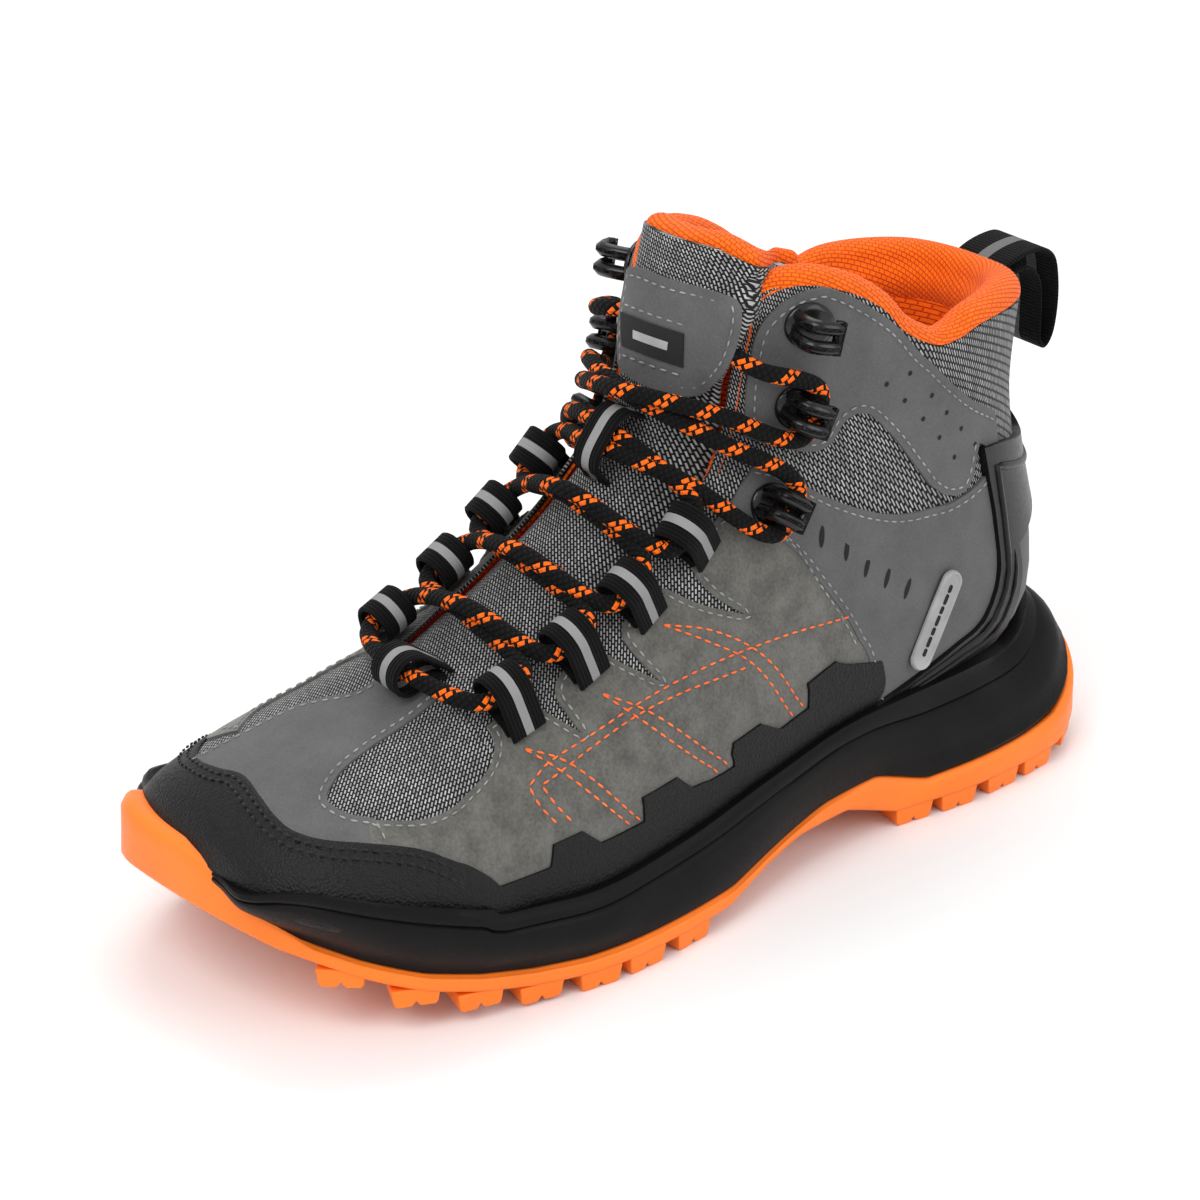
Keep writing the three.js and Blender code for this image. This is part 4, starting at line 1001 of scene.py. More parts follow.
capSeams = [seamPath([toeEdge[1:-1]], inset, 0.2) for inset in (-2.6, -5.2)]
stitches("toeStitches", capSeams, "blackThread", length=2.2, pitch=2.9, width=0.75, rise=0.1)
stripSeams = [seamPath([strip["outline"][i]], -1.8) for i in (0, 2)]
stitches("vampStitches", stripSeams, "greyThread")


def discs(name, places, radii, height, material, medial=False, turn=0.0):
    # Flat dark discs that lie on the upper: painted shade standing in for punched holes and slots
    bm = bmesh.new()
    for s, v in places:
        v = float(mirrorV(v)) if medial else v
        point, normal = onLast(s, v, height)
        ahead, _ = onLast(s + 0.01, v, height)
        z = Vector(normal[0])
        x = Vector(ahead[0] - point[0])
        x = (x - z * x.dot(z)).normalized()
        x.rotate(Matrix.Rotation(-turn if medial else turn, 3, z))
        y = z.cross(x)
        seat = Matrix((x * radii[0], y * radii[1], z)).transposed().to_4x4()
        seat.translation = Vector(point[0])
        bmesh.ops.create_circle(bm, cap_ends=True, segments=16, radius=1.0,
                                matrix=Matrix.Scale(mm, 4) @ seat)
    return finishPiece(name, bm, material)


for side in ("lateral", "medial"):
    isMedial = side == "medial"
    cutPiece("quarterSuede." + side, suede["outline"], -0.05, 1.2, "suede",
             replaces=("quarter_suede_" + side,), medial=isMedial)
    cutPiece("randLeather." + side, rand["outline"], 0.75, 1.3, "rand",
             replaces=("rand_" + side,), medial=isMedial, bevel=0.3)
    cutPiece("ankleStrap." + side, strap["outline"], 0.25, 1.3, "nubuck",
             replaces=("ankle_strap_" + side,), medial=isMedial)
    cutPiece("collarPanel." + side, panel["outline"], 0.2, 1.2, "nubuck",
             replaces=("collar_panel_" + side,), medial=isMedial)
    # Painted shade: dark discs for the panel holes and the strap slots
    discs("panelHoles." + side, panel["holes"], (0.75, 0.75), 0.3, "hole", isMedial)
    discs("strapSlots." + side, strap["slots"], (3.1, 0.9), 0.35, "hole", isMedial, 0.5)
    light = [seamPath(suede["seams"], -1.6, 0.05, isMedial),
             seamPath(panel["outline"][:2], -2.4, 0.3, isMedial),
             seamPath(panel["outline"][3:], -2.0, 0.3, isMedial),
             seamPath(strap["outline"][1:2], -1.8, 0.35, isMedial),
             seamPath(strap["outline"][3:4], -1.6, 0.35, isMedial)]
    stitches("greyStitches." + side, light, "greyThread")
    bright = [seamPath([run], 0.0, 0.05, isMedial) for run in suede["arcs"]]
    stitches("orangeStitches." + side, bright, "orangeThread", length=2.5, pitch=3.2, width=0.7)
print("overlays made")


# Heel
stabiliser = {
    "outline": [
        [(1.49, 0.655), (1.60, 0.625), (1.70, 0.600), (1.738, 0.60)],
        [(1.738, 0.60), (1.745, 0.66), (1.752, 0.84), (1.768, 1.0), (1.752, 1.16), (1.745, 1.34),
         (1.738, 1.40)],
        [(1.738, 1.40), (1.70, 1.40), (1.60, 1.375), (1.49, 1.345)],
        [(1.49, 1.345), (1.55, 1.27), (1.62, 1.297), (1.67, 1.325)],
        [(1.67, 1.325), (1.69, 1.25), (1.708, 1.16), (1.72, 1.0), (1.708, 0.84), (1.69, 0.75), (1.67, 0.675)],
        [(1.67, 0.675), (1.62, 0.703), (1.55, 0.73), (1.49, 0.655)],
    ],
    "ridges": [
        [(1.52, 0.668), (1.60, 0.648), (1.69, 0.626), (1.725, 0.628)],
        [(1.725, 0.628), (1.732, 0.80), (1.745, 1.0), (1.732, 1.20), (1.725, 1.372)],
        [(1.725, 1.372), (1.69, 1.374), (1.60, 1.352), (1.52, 1.332)],
    ],
    "slots": [(1.618, 0.668), (1.612, 0.70), (1.652, 0.672), (1.645, 0.705), (1.618, 1.332), (1.612, 1.30)],
}
heelPanel = [
    [(1.54, 0.66), (1.60, 0.66), (1.70, 0.63), (1.73, 0.70), (1.74, 1.0), (1.73, 1.30), (1.70, 1.37),
     (1.60, 1.34), (1.54, 1.34)],
    [(1.54, 1.34), (1.57, 1.2), (1.58, 1.0), (1.57, 0.8), (1.54, 0.66)],
]
cutPiece("heelPanelLeather", heelPanel, -0.1, 1.2, "nubuck", replaces=("heel_panel",))
cutPiece("heelStabiliser", stabiliser["outline"], 1.6, 2.6, "satin",
         replaces=("heel_stabiliser",), bevel=0.8)
# Painted shade: dark discs for the slots in the stabiliser
discs("heelSlots", stabiliser["slots"], (2.6, 0.85), 0.1, "hole", turn=0.2)


def ridge(name, strokes, height, width, rise, material):
    # A rounded bead that follows a line on the upper
    line = patternLine(strokes)
    points, normals = onLast(line[:, 0], line[:, 1], height)
    across = unit(np.cross(normals, np.gradient(points, axis=0)))

    def place(t, u):
        i = stepOf(t, len(points))
        turn = u * 2 * math.pi
        end = np.sqrt(np.clip(1 - np.abs(2 * t - 1) ** 30, 0, 1))
        return (points[i] + across[i] * (np.cos(turn) * width / 2 * end)[:, None]
                + normals[i] * (np.sin(turn) * rise * end)[:, None])
    return gridPiece(name, len(points) - 1, 8, place, material, around=True, ends=True)


ridge("stabiliserBead", stabiliser["ridges"], 1.6, 2.4, 0.8, "satin")
ridge("stabiliserEdge", [[(1.51, 0.70), (1.56, 0.69), (1.62, 0.672), (1.665, 0.655)]], 1.6, 1.6, 0.6, "satin")


# Tongue
tongue = {
    "low": [(1.06, -0.13), (1.3, -0.15), (1.6, -0.17), (1.69, -0.14), (1.75, -0.10), (1.8, -0.088),
            (1.95, -0.083)],
    "high": [(1.06, 0.19), (1.3, 0.21), (1.6, 0.22), (1.68, 0.2), (1.74, 0.19), (1.82, 0.2), (1.86, 0.215),
             (1.9, 0.27), (1.95, 0.325)],
    "top": 1.955,
    "front": [(1.06, -2.6), (1.3, -2.4), (1.45, -2.8), (1.6, -3.4), (1.70, -2.0), (1.76, 0.4), (1.85, 1.6),
              (1.95, 1.8)],
    "foldStart": 1.66,
    "foldEnd": 1.75,
}


def tongueFront(s, v):
    # The outer edge lifts over the tucked lace end, and the inner edge dips
    over = smoothStep(v, 0.09, 0.15) * smoothStep(s, 1.73, 1.79) * 3.6 * (1 - smoothStep(s, 1.87, 1.93))
    dip = smoothStep(-v, 0.05, 0.09) * 1.2 + smoothStep(v, 0.195, 0.28) * 15
    return smoothTable(tongue["front"], s) + over - dip


def tongueBack(s, v):
    over = smoothStep(v, 0.10, 0.15) * smoothStep(s, 1.73, 1.79) * (1 - smoothStep(s, 1.87, 1.93))
    thick = np.minimum(-8.0, tongueFront(s, v) - 4.5)
    return thick * (1 - over) + (tongueFront(s, v) - 1.1) * over


def slopedTop(s, v, t):
    # The top edge drops towards the outer side
    return s - 0.045 * smoothStep(v, 0.1, 0.3) * t ** 6


def tongueBody(t, u):
    s = 1.07 + (tongue["top"] - 1.07) * t
    low, high = smoothTable(tongue["low"], s), smoothTable(tongue["high"], s)
    turn = u * 2 * math.pi
    across = np.sign(np.cos(turn)) * np.abs(np.cos(turn)) ** 0.42
    rise = np.sign(np.sin(turn)) * np.abs(np.sin(turn)) ** 0.5
    v = (low + high) / 2 + (high - low) / 2 * across
    front, back = tongueFront(s, v), tongueBack(s, v)
    crown = 1.0 * (1 - across ** 2)
    s = slopedTop(s, v, t)
    return onLast(s, v, (front + back) / 2 + (front - back) / 2 * rise + crown * (rise > 0))[0]


def tongueMap(t, u, points):
    return np.stack([points[:, 0], t * 145], 1)


def foldTongue(piece):
    start, _ = onLast(tongue["foldStart"], laceLine, -2)
    end, _ = onLast(tongue["foldEnd"], laceLine, -2)
    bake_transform(piece)


tonguePad = gridPiece("tonguePad", 130, 48, tongueBody, "weave", body=None,
                      replaces=("tongue_lower", "tongue_flap"), around=True, ends=True, mapped=tongueMap)
foldTongue(tonguePad)


def tongueLiner(t, u):
    s = 1.4 + (tongue["top"] - 1.4) * t
    v = smoothTable(tongue["low"], s) * (1 - u) + smoothTable(tongue["high"], s) * u
    return onLast(slopedTop(s, v, t), v, tongueBack(s, v) - 0.9)[0]


liner = gridPiece("tongueLining", 60, 24, tongueLiner, "lining", body=None,
                  replaces=("tongue_lining",), mapped=tongueMap)
thicken(liner, 0.8)
foldTongue(liner)


def tongueRoll(t, u):
    # The lining turned over the top edge, with rounded ends
    s = tongue["top"]
    low, high = smoothTable(tongue["low"], s) - 0.004, smoothTable(tongue["high"], s) + 0.002
    v = low + (high - low) * t
    ends = np.sqrt(np.clip(1 - np.abs(2 * t - 1) ** 14, 0, 1))
    front, back = tongueFront(s, v) - 1.2, tongueBack(s, v) - 1.4
    turn = u * 2 * math.pi
    middle = (front + back) / 2 + (front - back) / 2 * np.cos(turn) * (0.25 + 0.75 * ends)
    return onLast(slopedTop(s + 0.02 * np.sin(turn) * ends, v, 1), v, middle)[0]


topRoll = gridPiece("tongueTopRoll", 70, 20, tongueRoll, "lining", body="tongue_top",
                    around=True, ends=True, mapped=lambda t, u, points: np.stack([t * 75, u * 26], 1))

patch = {
    "outline": [
        [(1.71, -0.06), (1.80, -0.068), (1.868, -0.066), (1.882, -0.04), (1.886, 0.06), (1.889, 0.155),
         (1.882, 0.183), (1.86, 0.192), (1.82, 0.194), (1.78, 0.188), (1.735, 0.172), (1.71, 0.15),
         (1.695, 0.10), (1.693, 0.045), (1.697, -0.02), (1.71, -0.06)],
    ],
    "label": corners([(1.742, -0.03), (1.80, -0.045), (1.805, 0.10), (1.747, 0.112), (1.742, -0.03)]),
    "mark": corners([(1.764, 0.0), (1.767, 0.075), (1.782, 0.074), (1.779, -0.002), (1.764, 0.0)]),
}


def onTongue(extra):
    return lambda s, v: tongueFront(s, v) + extra


cutPiece("tonguePatchLeather", patch["outline"], onTongue(1.9), 1.4, "nubuck",
         body="tongue_top", replaces=("tongue_patch",), mapped=topMap)
cutPiece("tongueLabel", patch["label"], onTongue(2.6), 0.9, "blackLabel",
         body="tongue_top", replaces=("tongue_label",), mapped=topMap, bevel=0.2)
cutPiece("tongueLabelMark", patch["mark"], onTongue(2.85), 0.4, "silver",
         body="tongue_top", mapped=topMap, bevel=0.1)


def tongueSeam(strokes, inset, extra):
    line = patternLine(strokes, 1.0)
    points, normals = onLast(line[:, 0], line[:, 1], tongueFront(line[:, 0], line[:, 1]) + extra)
    side = unit(np.cross(normals, np.gradient(points, axis=0)))
    return points + side * inset, normals


tongueSeams = [tongueSeam(patch["outline"], -2.4, 2.0)]
tongueSeams += [tongueSeam([run], 2.2, 2.0) for run in patch["label"]]
stitches("tongueStitches", tongueSeams, "greyThread", body="tongue_top")
print("tongue made")


# Loops, hooks, badge and pull tab
def frameAt(s, v, height, turn=0.0):
    # x points across towards the instep, y along the foot and z out of the surface
    origin, normal = onLast(s, v, height)
    toward, _ = onLast(s, v + (-0.03 if v > laceLine else 0.03), height)
    z = Vector(normal[0])
    x = Vector(toward[0] - origin[0])
    x = (x - z * x.dot(z)).normalized()
    x.rotate(Matrix.Rotation(turn, 3, z))
    y = z.cross(x)
    return np.array(origin[0]), np.array(x), np.array(y), np.array(z)


def upright(profile, seat):
    origin, x, y, z = seat
    return [origin + x * a + z * b for a, b in profile]


loops = {
    "places": [(1.125, 0.17), (1.258, 0.182), (1.385, 0.195), (1.508, 0.205)],
    "vamp": (1.045, laceLine),
    "profile": [(-9.0, -1.4), (-6.5, 0.2), (-2, 0.7), (2.6, 1.4), (5.2, 4.2), (5.2, 7.6), (3.2, 10.6),
                (-0.5, 11.6), (-4.2, 9.8), (-7.2, 5.6), (-9.4, 2.2), (-11.4, -1.2)],
    "width": 11.0,
    "thick": 1.3,
    "height": 0.7,
}
for i, (s, v) in enumerate(loops["places"]):
    for side, at in (("lateral", v), ("medial", 2 * laceLine - v)):
        here = frameAt(s, at, loops["height"])
        bandPiece(f"laceLoop.{side}.{i + 1}", upright(loops["profile"], here), here[2], loops["width"],
                  loops["thick"], "webbing", "webbing", replaces=(f"lace_loop_{side}_{i + 1}",))
here = frameAt(*loops["vamp"], loops["height"], -math.pi / 2)
bandPiece("laceLoop.vamp", upright(loops["profile"], here), here[2], loops["width"], loops["thick"],
          "webbing", "webbing", replaces=("lace_loop_vamp",))

keeper = {
    "place": (1.58, laceLine),
    "profile": [(-10.2, -0.6), (-9.4, 2.6), (-8.9, 6.4), (-6.0, 9.0), (0, 9.7), (6.0, 9.0), (8.9, 6.4),
                (9.4, 2.6), (10.2, -0.6)],
    "width": 9.0,
    "height": -0.6,
}
here = frameAt(*keeper["place"], keeper["height"], -math.pi / 2)
bandPiece("tongueKeeper", upright(keeper["profile"], here), here[2], keeper["width"], loops["thick"],
          "webbing", "webbing", replaces=("tongue_keeper",))

hooks = {
    "places": [(1.607, 0.29), (1.738, 0.31), (1.85, 0.312)],
    "claw": [(4.2, 0.8), (4.6, 4.0), (4.2, 8.0), (2.6, 10.2), (-0.8, 10.8), (-3.6, 10.4), (-5.0, 9.4)],
    "plate": (7.2, 6.4, 1.9),
    "clawApart": 2.7,
    "clawSize": (4.0, 2.8),
    "barPlace": (-4.4, 9.8),
    "barHalf": 4.6,
    "barSize": (2.6, 2.6),
}


def domedPlate(name, seat, radii, replaces):
    # A flat-bottomed round plate with a soft rim, domed a little towards the middle
    origin, x, y, z = seat

    def place(t, u):
        r = np.clip(t * 1.12, 0, 1)
        drop = np.clip((t * 1.12 - 1) / 0.12, 0, 1)
        turn = u * 2 * math.pi
        rise = radii[2] * (1 - 0.25 * r ** 2) * (1 - 0.45 * smoothStep(r, 0.82, 1.0)) * (1 - drop)
        across, along = radii[0] * r * np.cos(turn), radii[1] * r * np.sin(turn)
        return origin + x * across[:, None] + y * along[:, None] + z * rise[:, None]
    return gridPiece(name, 18, 32, place, "glossy", replaces=replaces, around=True, flip=True)


for i, (s, v) in enumerate(hooks["places"]):
    for side, at in (("lateral", v), ("medial", 2 * laceLine - v)):
        here = frameAt(s, at, 0.55)
        domedPlate(f"hookPlate.{side}.{i + 1}", here, hooks["plate"], (f"lace_hook_{side}_{i + 1}",))
        for k, offset in (("a", -hooks["clawApart"]), ("b", hooks["clawApart"])):
            shifted = (here[0] + here[2] * offset,) + here[1:]
            bandPiece(f"hookClaw.{side}.{i + 1}{k}", upright(hooks["claw"], shifted), here[2],
                      *hooks["clawSize"], "glossy", "black_satin", rounding=1.3)
        back, high = hooks["barPlace"]
        middle = here[0] + here[1] * back + here[3] * high
        ends = [middle + here[2] * a for a in (-hooks["barHalf"], hooks["barHalf"])]
        bandPiece(f"hookBar.{side}.{i + 1}", ends, here[1], *hooks["barSize"], "glossy", "black_satin",
                  rounding=1.2)

tab = {
    "profile": [(127.5, 141.8), (132, 143.8), (138, 145.0), (144, 144.8), (148.6, 141.5), (150.6, 134),
                (150.6, 124), (149, 117), (146.6, 114.4), (144.6, 116.4), (144.2, 123), (144.0, 131),
                (142.6, 136.6), (139, 140.2), (134.5, 140.6), (131, 139.5)],
    "width": 20.0,
    "thick": 1.3,
}
bandPiece("pullTab", [(0, y, z) for y, z in tab["profile"]], (1.0, 0, 0), tab["width"], tab["thick"],
          "tab", "webbing", body="pull_tab", replaces=("pull_tab",))


def capsule(name, seat, length, width, height, material, slot, replaces=()):
    # A capsule-shaped plate whose middle is dished within a raised rim
    origin, x, y, z = seat
    half = (length - width) / 2

    def place(t, u):
        r = np.clip(t * 1.1, 0, 1)
        drop = np.clip((t * 1.1 - 1) / 0.1, 0, 1)
        turn = u * 2 * math.pi
        reach = width / 2 * r
        a = reach * np.cos(turn)
        b = reach * np.sin(turn) + half * np.clip(np.sin(turn) * 3, -1, 1) * np.clip(r * 1.6, 0, 1)
        dish, rim = 0.35 * (1 - smoothStep(r, 0.68, 0.8)), 0.5 * smoothStep(r, 0.9, 1.0)
        rise = height * (1 - dish - rim) * (1 - drop)
        return origin + x * a[:, None] + y * b[:, None] + z * rise[:, None]
    return gridPiece(name, 24, 64, place, material, replaces=replaces, around=True, flip=True)


badge = {"place": (1.585, 0.54), "height": 0.75, "lean": 0.1, "size": (30, 8.4, 1.5), "marks": 7,
         "pitch": 3.2}
here = frameAt(*badge["place"], badge["height"], badge["lean"])
capsule("ankleBadge", here, *badge["size"], "silver", "silver_trim", replaces=("badge",))
for k in range(badge["marks"]):
    along = badge["pitch"] * (k - (badge["marks"] - 1) / 2)
    mark = (here[0] + here[2] * along + here[3] * badge["height"],) + here[1:]
    capsule(f"badgeMark.{k}", mark, 3.2 if k % 2 else 2.4, 1.3, 0.5, "satin", "silver_trim")
print("fittings made")


# The sole
sole = {
    "lateral": [(-151, -18), (-150, -4), (-147, 9), (-141, 22), (-131, 34), (-118, 45), (-100, 52),
                (-80, 56), (-60, 59.5), (-48, 60), (-20, 57), (20, 48), (55, 45), (87, 48), (115, 46),
                (128, 43), (141, 34), (147, 25), (150, 14), (151, 0)],
    "medial": [(-151, -18), (-150, -30), (-144, -41), (-125, -54), (-95, -59), (-60, -56), (-20, -45),
               (20, -37), (60, -39), (100, -44), (132, -40), (143, -30), (148, -22), (150, -13), (151, 0)],
    "toeSpring": [(-151, 27), (-140, 20), (-125, 13), (-110, 7.5), (-95, 3.8), (-80, 1.2), (-65, 0),
                  (151, 0)],
    "heelLift": [(-151, 0), (126, 0), (140, 3), (151, 8)],
    "archRise": [(-151, 0), (-12, 0), (4, 4.5), (20, 7.5), (40, 7.5), (52, 3), (60, 0), (151, 0)],
    "rimRise": [(-151, 0), (-10, 0), (30, 8), (52, 9), (70, 2.5), (110, 3.5), (138, 5), (151, 11)],
    "bumperRise": [(-58, 0), (-50, 0.35), (-43, 0.85), (-33, 1), (-6, 1), (6, 0.78), (17, 0.34), (31, 0)],
    "spine": ((-14, -104), (2, 108)),
    "lug": 5.0,
    "plate": 5.5,
    "bumperTop": 48.0,
    "lateralLugs": [-129, -112, -95, -78, -61, -44, -27, 66, 83, 100, 117, 134],
    "medialLugs": [-131, -114, -97, -80, -63, -46, -29, 64, 81, 98, 115, 132],
    "wallEdge": [(0.04, 0.5), (0.12, 0.455), (0.2, 0.42), (0.3, 0.4), (0.53, 0.43), (0.72, 0.465),
                 (1.04, 0.525), (1.11, 0.555), (1.22, 0.588), (1.34, 0.598), (1.44, 0.623), (1.5, 0.66)],
    "cupEdge": [(1.545, 0.708), (1.585, 0.775), (1.615, 0.845), (1.636, 0.92), (1.643, 1.0)],
}


def groundAt(y):
    return straightTable(sole["toeSpring"], y) + straightTable(sole["heelLift"], y)


def rimAt(y):
    return groundAt(y) + sole["lug"] + sole["plate"] + straightTable(sole["rimRise"], y)


def soleRing(step):
    # The outline of the tread, from the toe along the lateral side to the heel and back
    lateral = [(x, y) for y, x in sole["lateral"]]
    medial = [(x, y) for y, x in sole["medial"]]
    ring = smoothStroke(lateral + medial[::-1][1:-1] + lateral[:1], 0.5)
    for _ in range(30):
        ring = (np.roll(ring, 1, 0) + 2 * ring + np.roll(ring, -1, 0)) / 4
    ring = evenly(np.concatenate([ring, ring[:1]]), step)
    return ring[:-1]


def nearSpine(plan):
    a, b = np.array(sole["spine"][0], float), np.array(sole["spine"][1], float)
    t = np.clip(((plan - a) @ (b - a)) / ((b - a) @ (b - a)), 0, 1)
    return a + (b - a) * t[:, None]


def topOfTread(plan):
    rim = rimAt(plan[:, 1])
    rise = straightTable(sole["bumperRise"], plan[:, 0]) * smoothStep(-plan[:, 1], 112, 122)
    return rim + (sole["bumperTop"] - rim) * rise, rise


ringPlan = soleRing(2.0)
ringSpine = nearSpine(ringPlan)
ringIn = unit(ringSpine - ringPlan)


def ringGrid(name, rows, material, replaces):
    # rows gives the plan points and heights of each profile point all round the ring
    columns = len(rows[0][0])

    def place(t, u):
        i = np.round(t * columns).astype(int) % columns
        j = stepOf(u, len(rows))
        plan = np.array([row[0] for row in rows])[j, i]
        high = np.array([row[1] for row in rows])[j, i]
        return np.concatenate([plan, high[:, None]], 1)
    return gridPiece(name, columns, len(rows) - 1, place, material, replaces=replaces, around=True,
                     ends=True)


def treadRows():
    top, rise = topOfTread(ringPlan)
    y = ringPlan[:, 1]
    low = groundAt(y) + sole["lug"] + straightTable(sole["archRise"], y)
    low = np.minimum(low, top - 3)

    def at(inset, z):
        return ringPlan + ringIn * np.broadcast_to(inset, y.shape)[:, None], z
    wall = top - low
    far = np.linalg.norm(ringSpine - ringPlan, axis=1)
    rows = [at(far * share, low + 0.5) for share in (1.0, 0.7, 0.4)]
    rows += [at(4.5, low + 0.4), at(2.2, low), at(0.7, low + 0.6), at(0.1, low + 1.8)]
    rows += [at(0.2 + 0.6 * rise * share, low + wall * share) for share in (0.45, 0.65, 0.85)]
    rows += [at(0.5 + 1.3 * rise, top - 0.9), at(1.1 + 1.8 * rise, top - 0.2), at(2.2 + 2.4 * rise, top)]
    rows += [at(4.0 + 3.0 * rise, top - 0.3), at(4.6 + 4 * rise, top - 1.5)]
    rows += [at(5.2 + 3.6 * rise, rimAt(y) - 0.6)]
    rows += [at(far * share, rimAt(y) - 0.6) for share in (0.4, 0.7, 1.0)]
    return rows


ringGrid("treadRubber", treadRows(), "outsole", ("outsole",))

lug = {
    "side": [(-6.6, 5.6), (-6.0, 1.0), (-5.2, 0.0), (-1.1, 0.0), (0.0, 1.6), (1.1, 0.0), (5.2, 0.0),
             (6.0, 1.0), (6.6, 5.6)],
    "deep": 19.0,
    "slant": 2.0,
    "softEdge": 0.55,
    "toePlaces": (-38, -22, -5, 12),
    "middlePlaces": (-104, -86, -68, -50, -32, 76, 94, 112),
    "middle": [(-8.0, 5.4), (-7.0, 0.6), (-6.0, 0.2), (6.0, 0.2), (7.0, 0.6), (8.0, 5.4)],
}


def addLug(bm, place, along, inward, ground, side, deep):
    # The side view is drawn on the outer face and drawn in under the sole
    along, inward = Vector((*along, 0)), Vector((*inward, 0))
    rows = []
    for reach, squeeze, lift in ((-0.2, 1.0, 0.0), (deep * 0.55, 0.92, 0.0), (deep, 0.55, 0.4)):
        row = []
        for a, h in side:
            lean = lug["slant"] * (1 - min(h, 5) / 5) * (0.35 if reach < 0 else 0.0)
            point = Vector((*place, 0)) + along * (a * squeeze) + inward * (reach + lean)
            row.append(bm.verts.new((point + Vector((0, 0, ground + h + lift))) * mm))
        rows.append(row)
    for a, b in zip(rows, rows[1:]):
        for i in range(len(side)):
            j = (i + 1) % len(side)
            bm.faces.new((a[i], a[j], b[j], b[i]))
    bm.faces.new(rows[0][::-1])
    bm.faces.new(rows[-1])


def treadLugs():
    bm = bmesh.new()
    tangent = unit(np.roll(ringPlan, -1, 0) - np.roll(ringPlan, 1, 0))
    normal = np.stack([-tangent[:, 1], tangent[:, 0]], 1)
    for ys, sign in ((sole["lateralLugs"], 1), (sole["medialLugs"], -1)):
        for y in ys:
            ours = np.where(sign * (ringPlan[:, 0] - ringSpine[:, 0]) > 0)[0]
            i = ours[np.argmin(np.abs(ringPlan[ours, 1] - y))]
            inward = normal[i] if normal[i] @ ringIn[i] > 0 else -normal[i]
            ground = groundAt(ringPlan[i, 1])
            addLug(bm, ringPlan[i] + inward * 1.0, tangent[i], inward, ground, lug["side"], lug["deep"])
    for x in lug["toePlaces"]:   # under the front of the toe
        front = np.where(ringPlan[:, 1] < -120)[0]
        i = front[np.argmin(np.abs(ringPlan[front, 0] - x))]
        addLug(bm, ringPlan[i] + ringIn[i] * 9.0, tangent[i], ringIn[i], groundAt(ringPlan[i, 1]) + 0.5,
               lug["side"], 12)
    for y in lug["middlePlaces"]:   # down the middle
        middle = (smoothTable(sole["lateral"], y) + smoothTable(sole["medial"], y)) / 2
        for x in (middle - 10, middle + 10):
            addLug(bm, (x, y - 5), (1, 0), (0, 1), groundAt(y), lug["middle"], 9.5)
    bmesh.ops.recalc_face_normals(bm, faces=bm.faces)
    piece = finishPiece("treadLugs", bm, "outsole")
    soften(piece, lug["softEdge"], 35)


treadLugs()


def wallTop():
    # The upper edge of the midsole on the last, from the lateral toe round the heel to the medial toe
    half = np.array(sole["wallEdge"] + sole["cupEdge"])
    half = smoothStroke(half * patternScale, 2.0) / patternScale
    other = half[::-1][1:].copy()
    other[:, 1] = 2 - other[:, 1]
    return np.concatenate([half, other])


edgeLine = wallTop()


def rayToRing(plan):
    # Where a line from the spine through a plan point meets the outline of the tread
    origin = nearSpine(plan)
    ray = unit(plan - origin)
    a, b = ringPlan, np.roll(ringPlan, -1, 0)
    side = b - a
    cross = ray[:, None, 0] * side[None, :, 1] - ray[:, None, 1] * side[None, :, 0]
    away = a[None] - origin[:, None]
    t = (away[..., 0] * side[None, :, 1] - away[..., 1] * side[None, :, 0]) / cross
    w = (away[..., 0] * ray[:, None, 1] - away[..., 1] * ray[:, None, 0]) / cross
    t = np.where((w >= -0.001) & (w <= 1.001) & (t > 0), t, -1)
    return origin + ray * t.max(1)[:, None], -ray


toeBulge = 6.4   # keeps the wall outside the lower edge of the toe cap


def midsoleRows():
    s, v = edgeLine[:, 0], edgeLine[:, 1]
    foot, inward = rayToRing(onLast(s, v, 4.0)[0][:, :2])
    foot = np.stack([np.convolve(np.pad(foot[:, k], 3, "edge"), np.ones(7) / 7, "valid") for k in (0, 1)], 1)
    y = foot[:, 1]
    rim = rimAt(y)
    back = smoothStep(y, 30, 90)
    front = smoothStep(-y, 40, 62)
    tuck = smoothStep(topOfTread(foot)[1], 0.3, 0.75) * 5
    foot = foot + inward * tuck[:, None]
    lip, _ = onLast(s, v, 3.6 + 1.4 * back - 0.7 * tuck)

    def at(inset, z):
        return np.concatenate([foot + inward * np.broadcast_to(inset, y.shape)[:, None],
                               np.broadcast_to(z, y.shape)[:, None]], 1)
    base = at(0.5, rim + 2.0)

    def between(share, out):
        mixed = base * (1 - share) + lip * share
        mixed[:, :2] -= inward * (out + toeBulge * front * share * (1 - share))[:, None]
        return mixed
    rows = [at(12, rim + 0.4), at(2.2, rim + 0.1), at(0.9, rim + 0.5), base]
    rows += [between(0.16, 0.5), between(0.32, 0.9 + 0.8 * back), between(0.46, 0.9 + 1.4 * back)]
    rows += [between(0.60, 0.9 + 1.4 * back), between(0.70, 0.8 + 1.1 * back)]
    rows += [between(0.75, 0.5 + 0.8 * back), between(0.78, -0.3 + 0.4 * back)]   # the groove under the lip
    rows += [between(0.81, 0.3 + 0.4 * back), between(0.9, 0.5), lip]
    rows += [onLast(s + 0.004, v - 0.006 * np.sign(1 - v), 2.6 + back - 0.5 * tuck)[0],
             onLast(s, v, 0.6 - 0.2 * tuck)[0], onLast(s - 0.03, v + 0.04 * np.sign(1 - v), -0.4)[0]]
    return rows


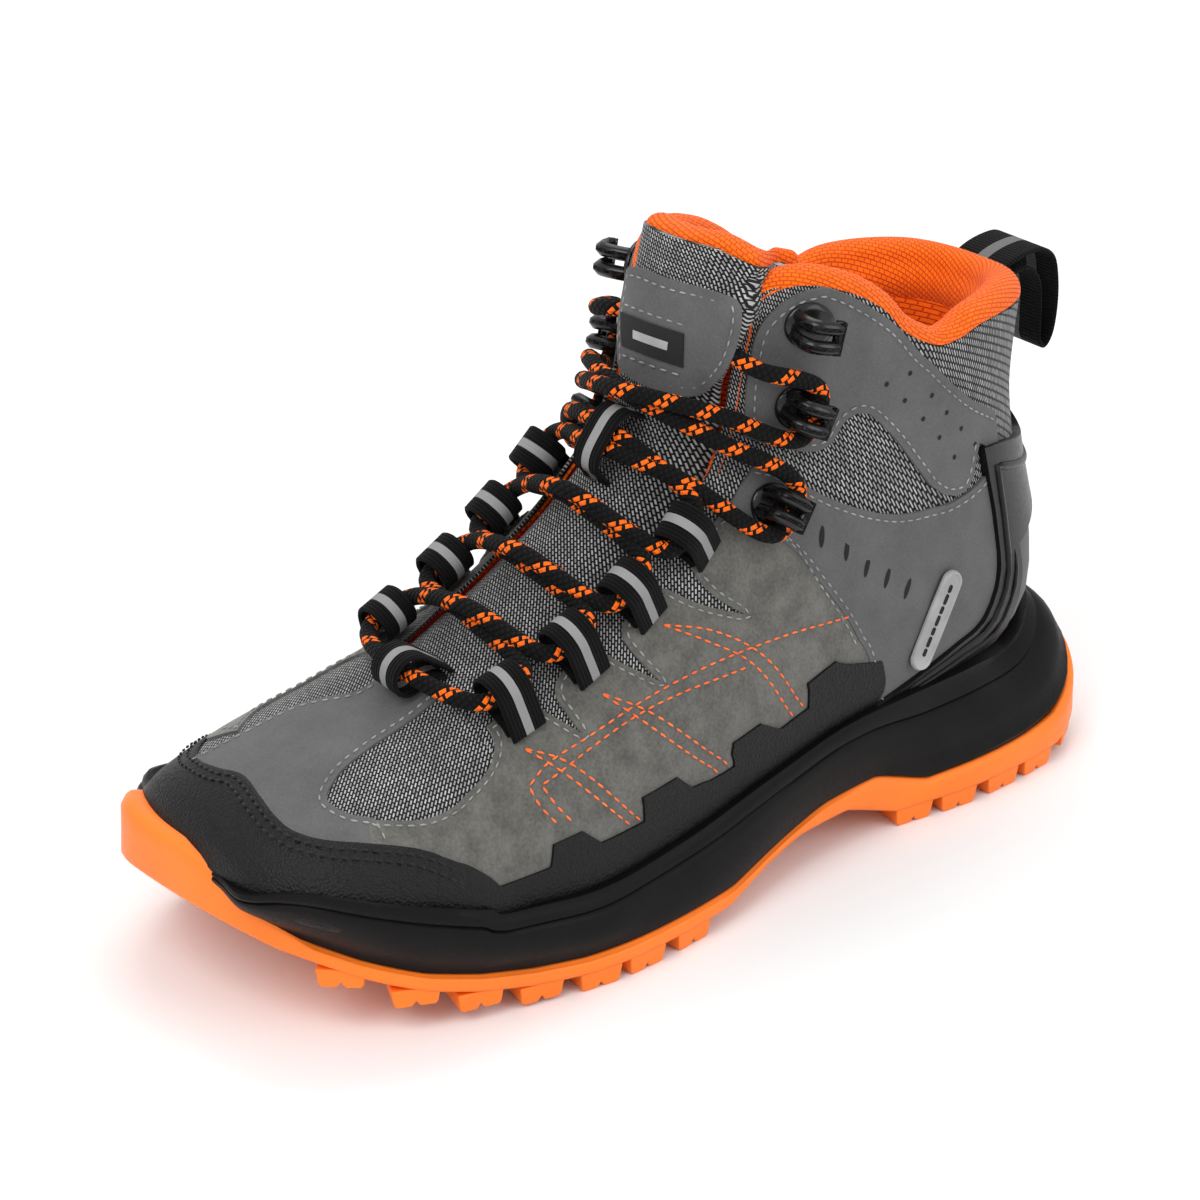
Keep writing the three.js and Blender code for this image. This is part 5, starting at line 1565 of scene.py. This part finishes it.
def midsoleWall():
    rows = midsoleRows()
    stack = np.array(rows)

    def place(t, u):
        return stack[stepOf(u, len(rows)), stepOf(t, stack.shape[1])]
    return gridPiece("midsoleWall", stack.shape[1] - 1, len(rows) - 1, place, "midsole",
                     replaces=("midsole",))


wallPiece = midsoleWall()
sharpBy(wallPiece, 38)
print("sole made")


# Pieces that keep their first shape
kept = {
    "bottom_filler": "board", "shank": "steel", "insole_board": "board", "toe_puff": "board",
    "heel_counter": "board",
    "lace_aglet_medial": "satin", "lace_aglet_lateral": "satin",
}
for side in ("lateral", "medial"):
    for i in (1, 2, 3):
        kept[f"hook_rivet_{side}_{i}"] = "steel"
for name, material in kept.items():
    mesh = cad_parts[name].data
    mesh.materials.clear()
    mesh.materials.append(finish[material])


# Floor and light
def makeStage():
    bm = bmesh.new()
    bmesh.ops.create_grid(bm, x_segments=1, y_segments=1, size=3.0)
    mesh = bpy.data.meshes.new("floor")
    bm.to_mesh(mesh)
    bm.free()
    floor = bpy.data.objects.new("floor", mesh)
    bpy.context.scene.collection.objects.link(floor)
    mesh.materials.append(newMaterial("paleFloor", grey(0.84), 0.9, specular=0.1))
    world = bpy.data.worlds.new("studio")
    bpy.context.scene.world = world
    world.use_nodes = True
    world.node_tree.nodes["Background"].inputs["Color"].default_value = (1, 1, 1, 1)
    world.node_tree.nodes["Background"].inputs["Strength"].default_value = studio["sky"]
    bpy.context.scene.view_settings.view_transform = "Standard"
    for name, place, size, power in studio["lamps"]:
        lamp = bpy.data.lights.new(name, "AREA")
        lamp.size = size
        lamp.energy = power
        holder = bpy.data.objects.new(name, lamp)
        bpy.context.scene.collection.objects.link(holder)
        holder.location = place
        holder.rotation_euler = (Vector(place) - Vector((0, 0, 0.06))).to_track_quat("Z", "Y").to_euler()


studio = {
    "sky": 0.85,
    "lamps": [("keyLamp", (0.3, -0.9, 1.1), 0.8, 9), ("sideLamp", (1.2, 0.5, 0.8), 0.9, 6),
              ("topLamp", (-0.5, 0.4, 1.3), 0.9, 6)],
}
makeStage()
print("stage made")
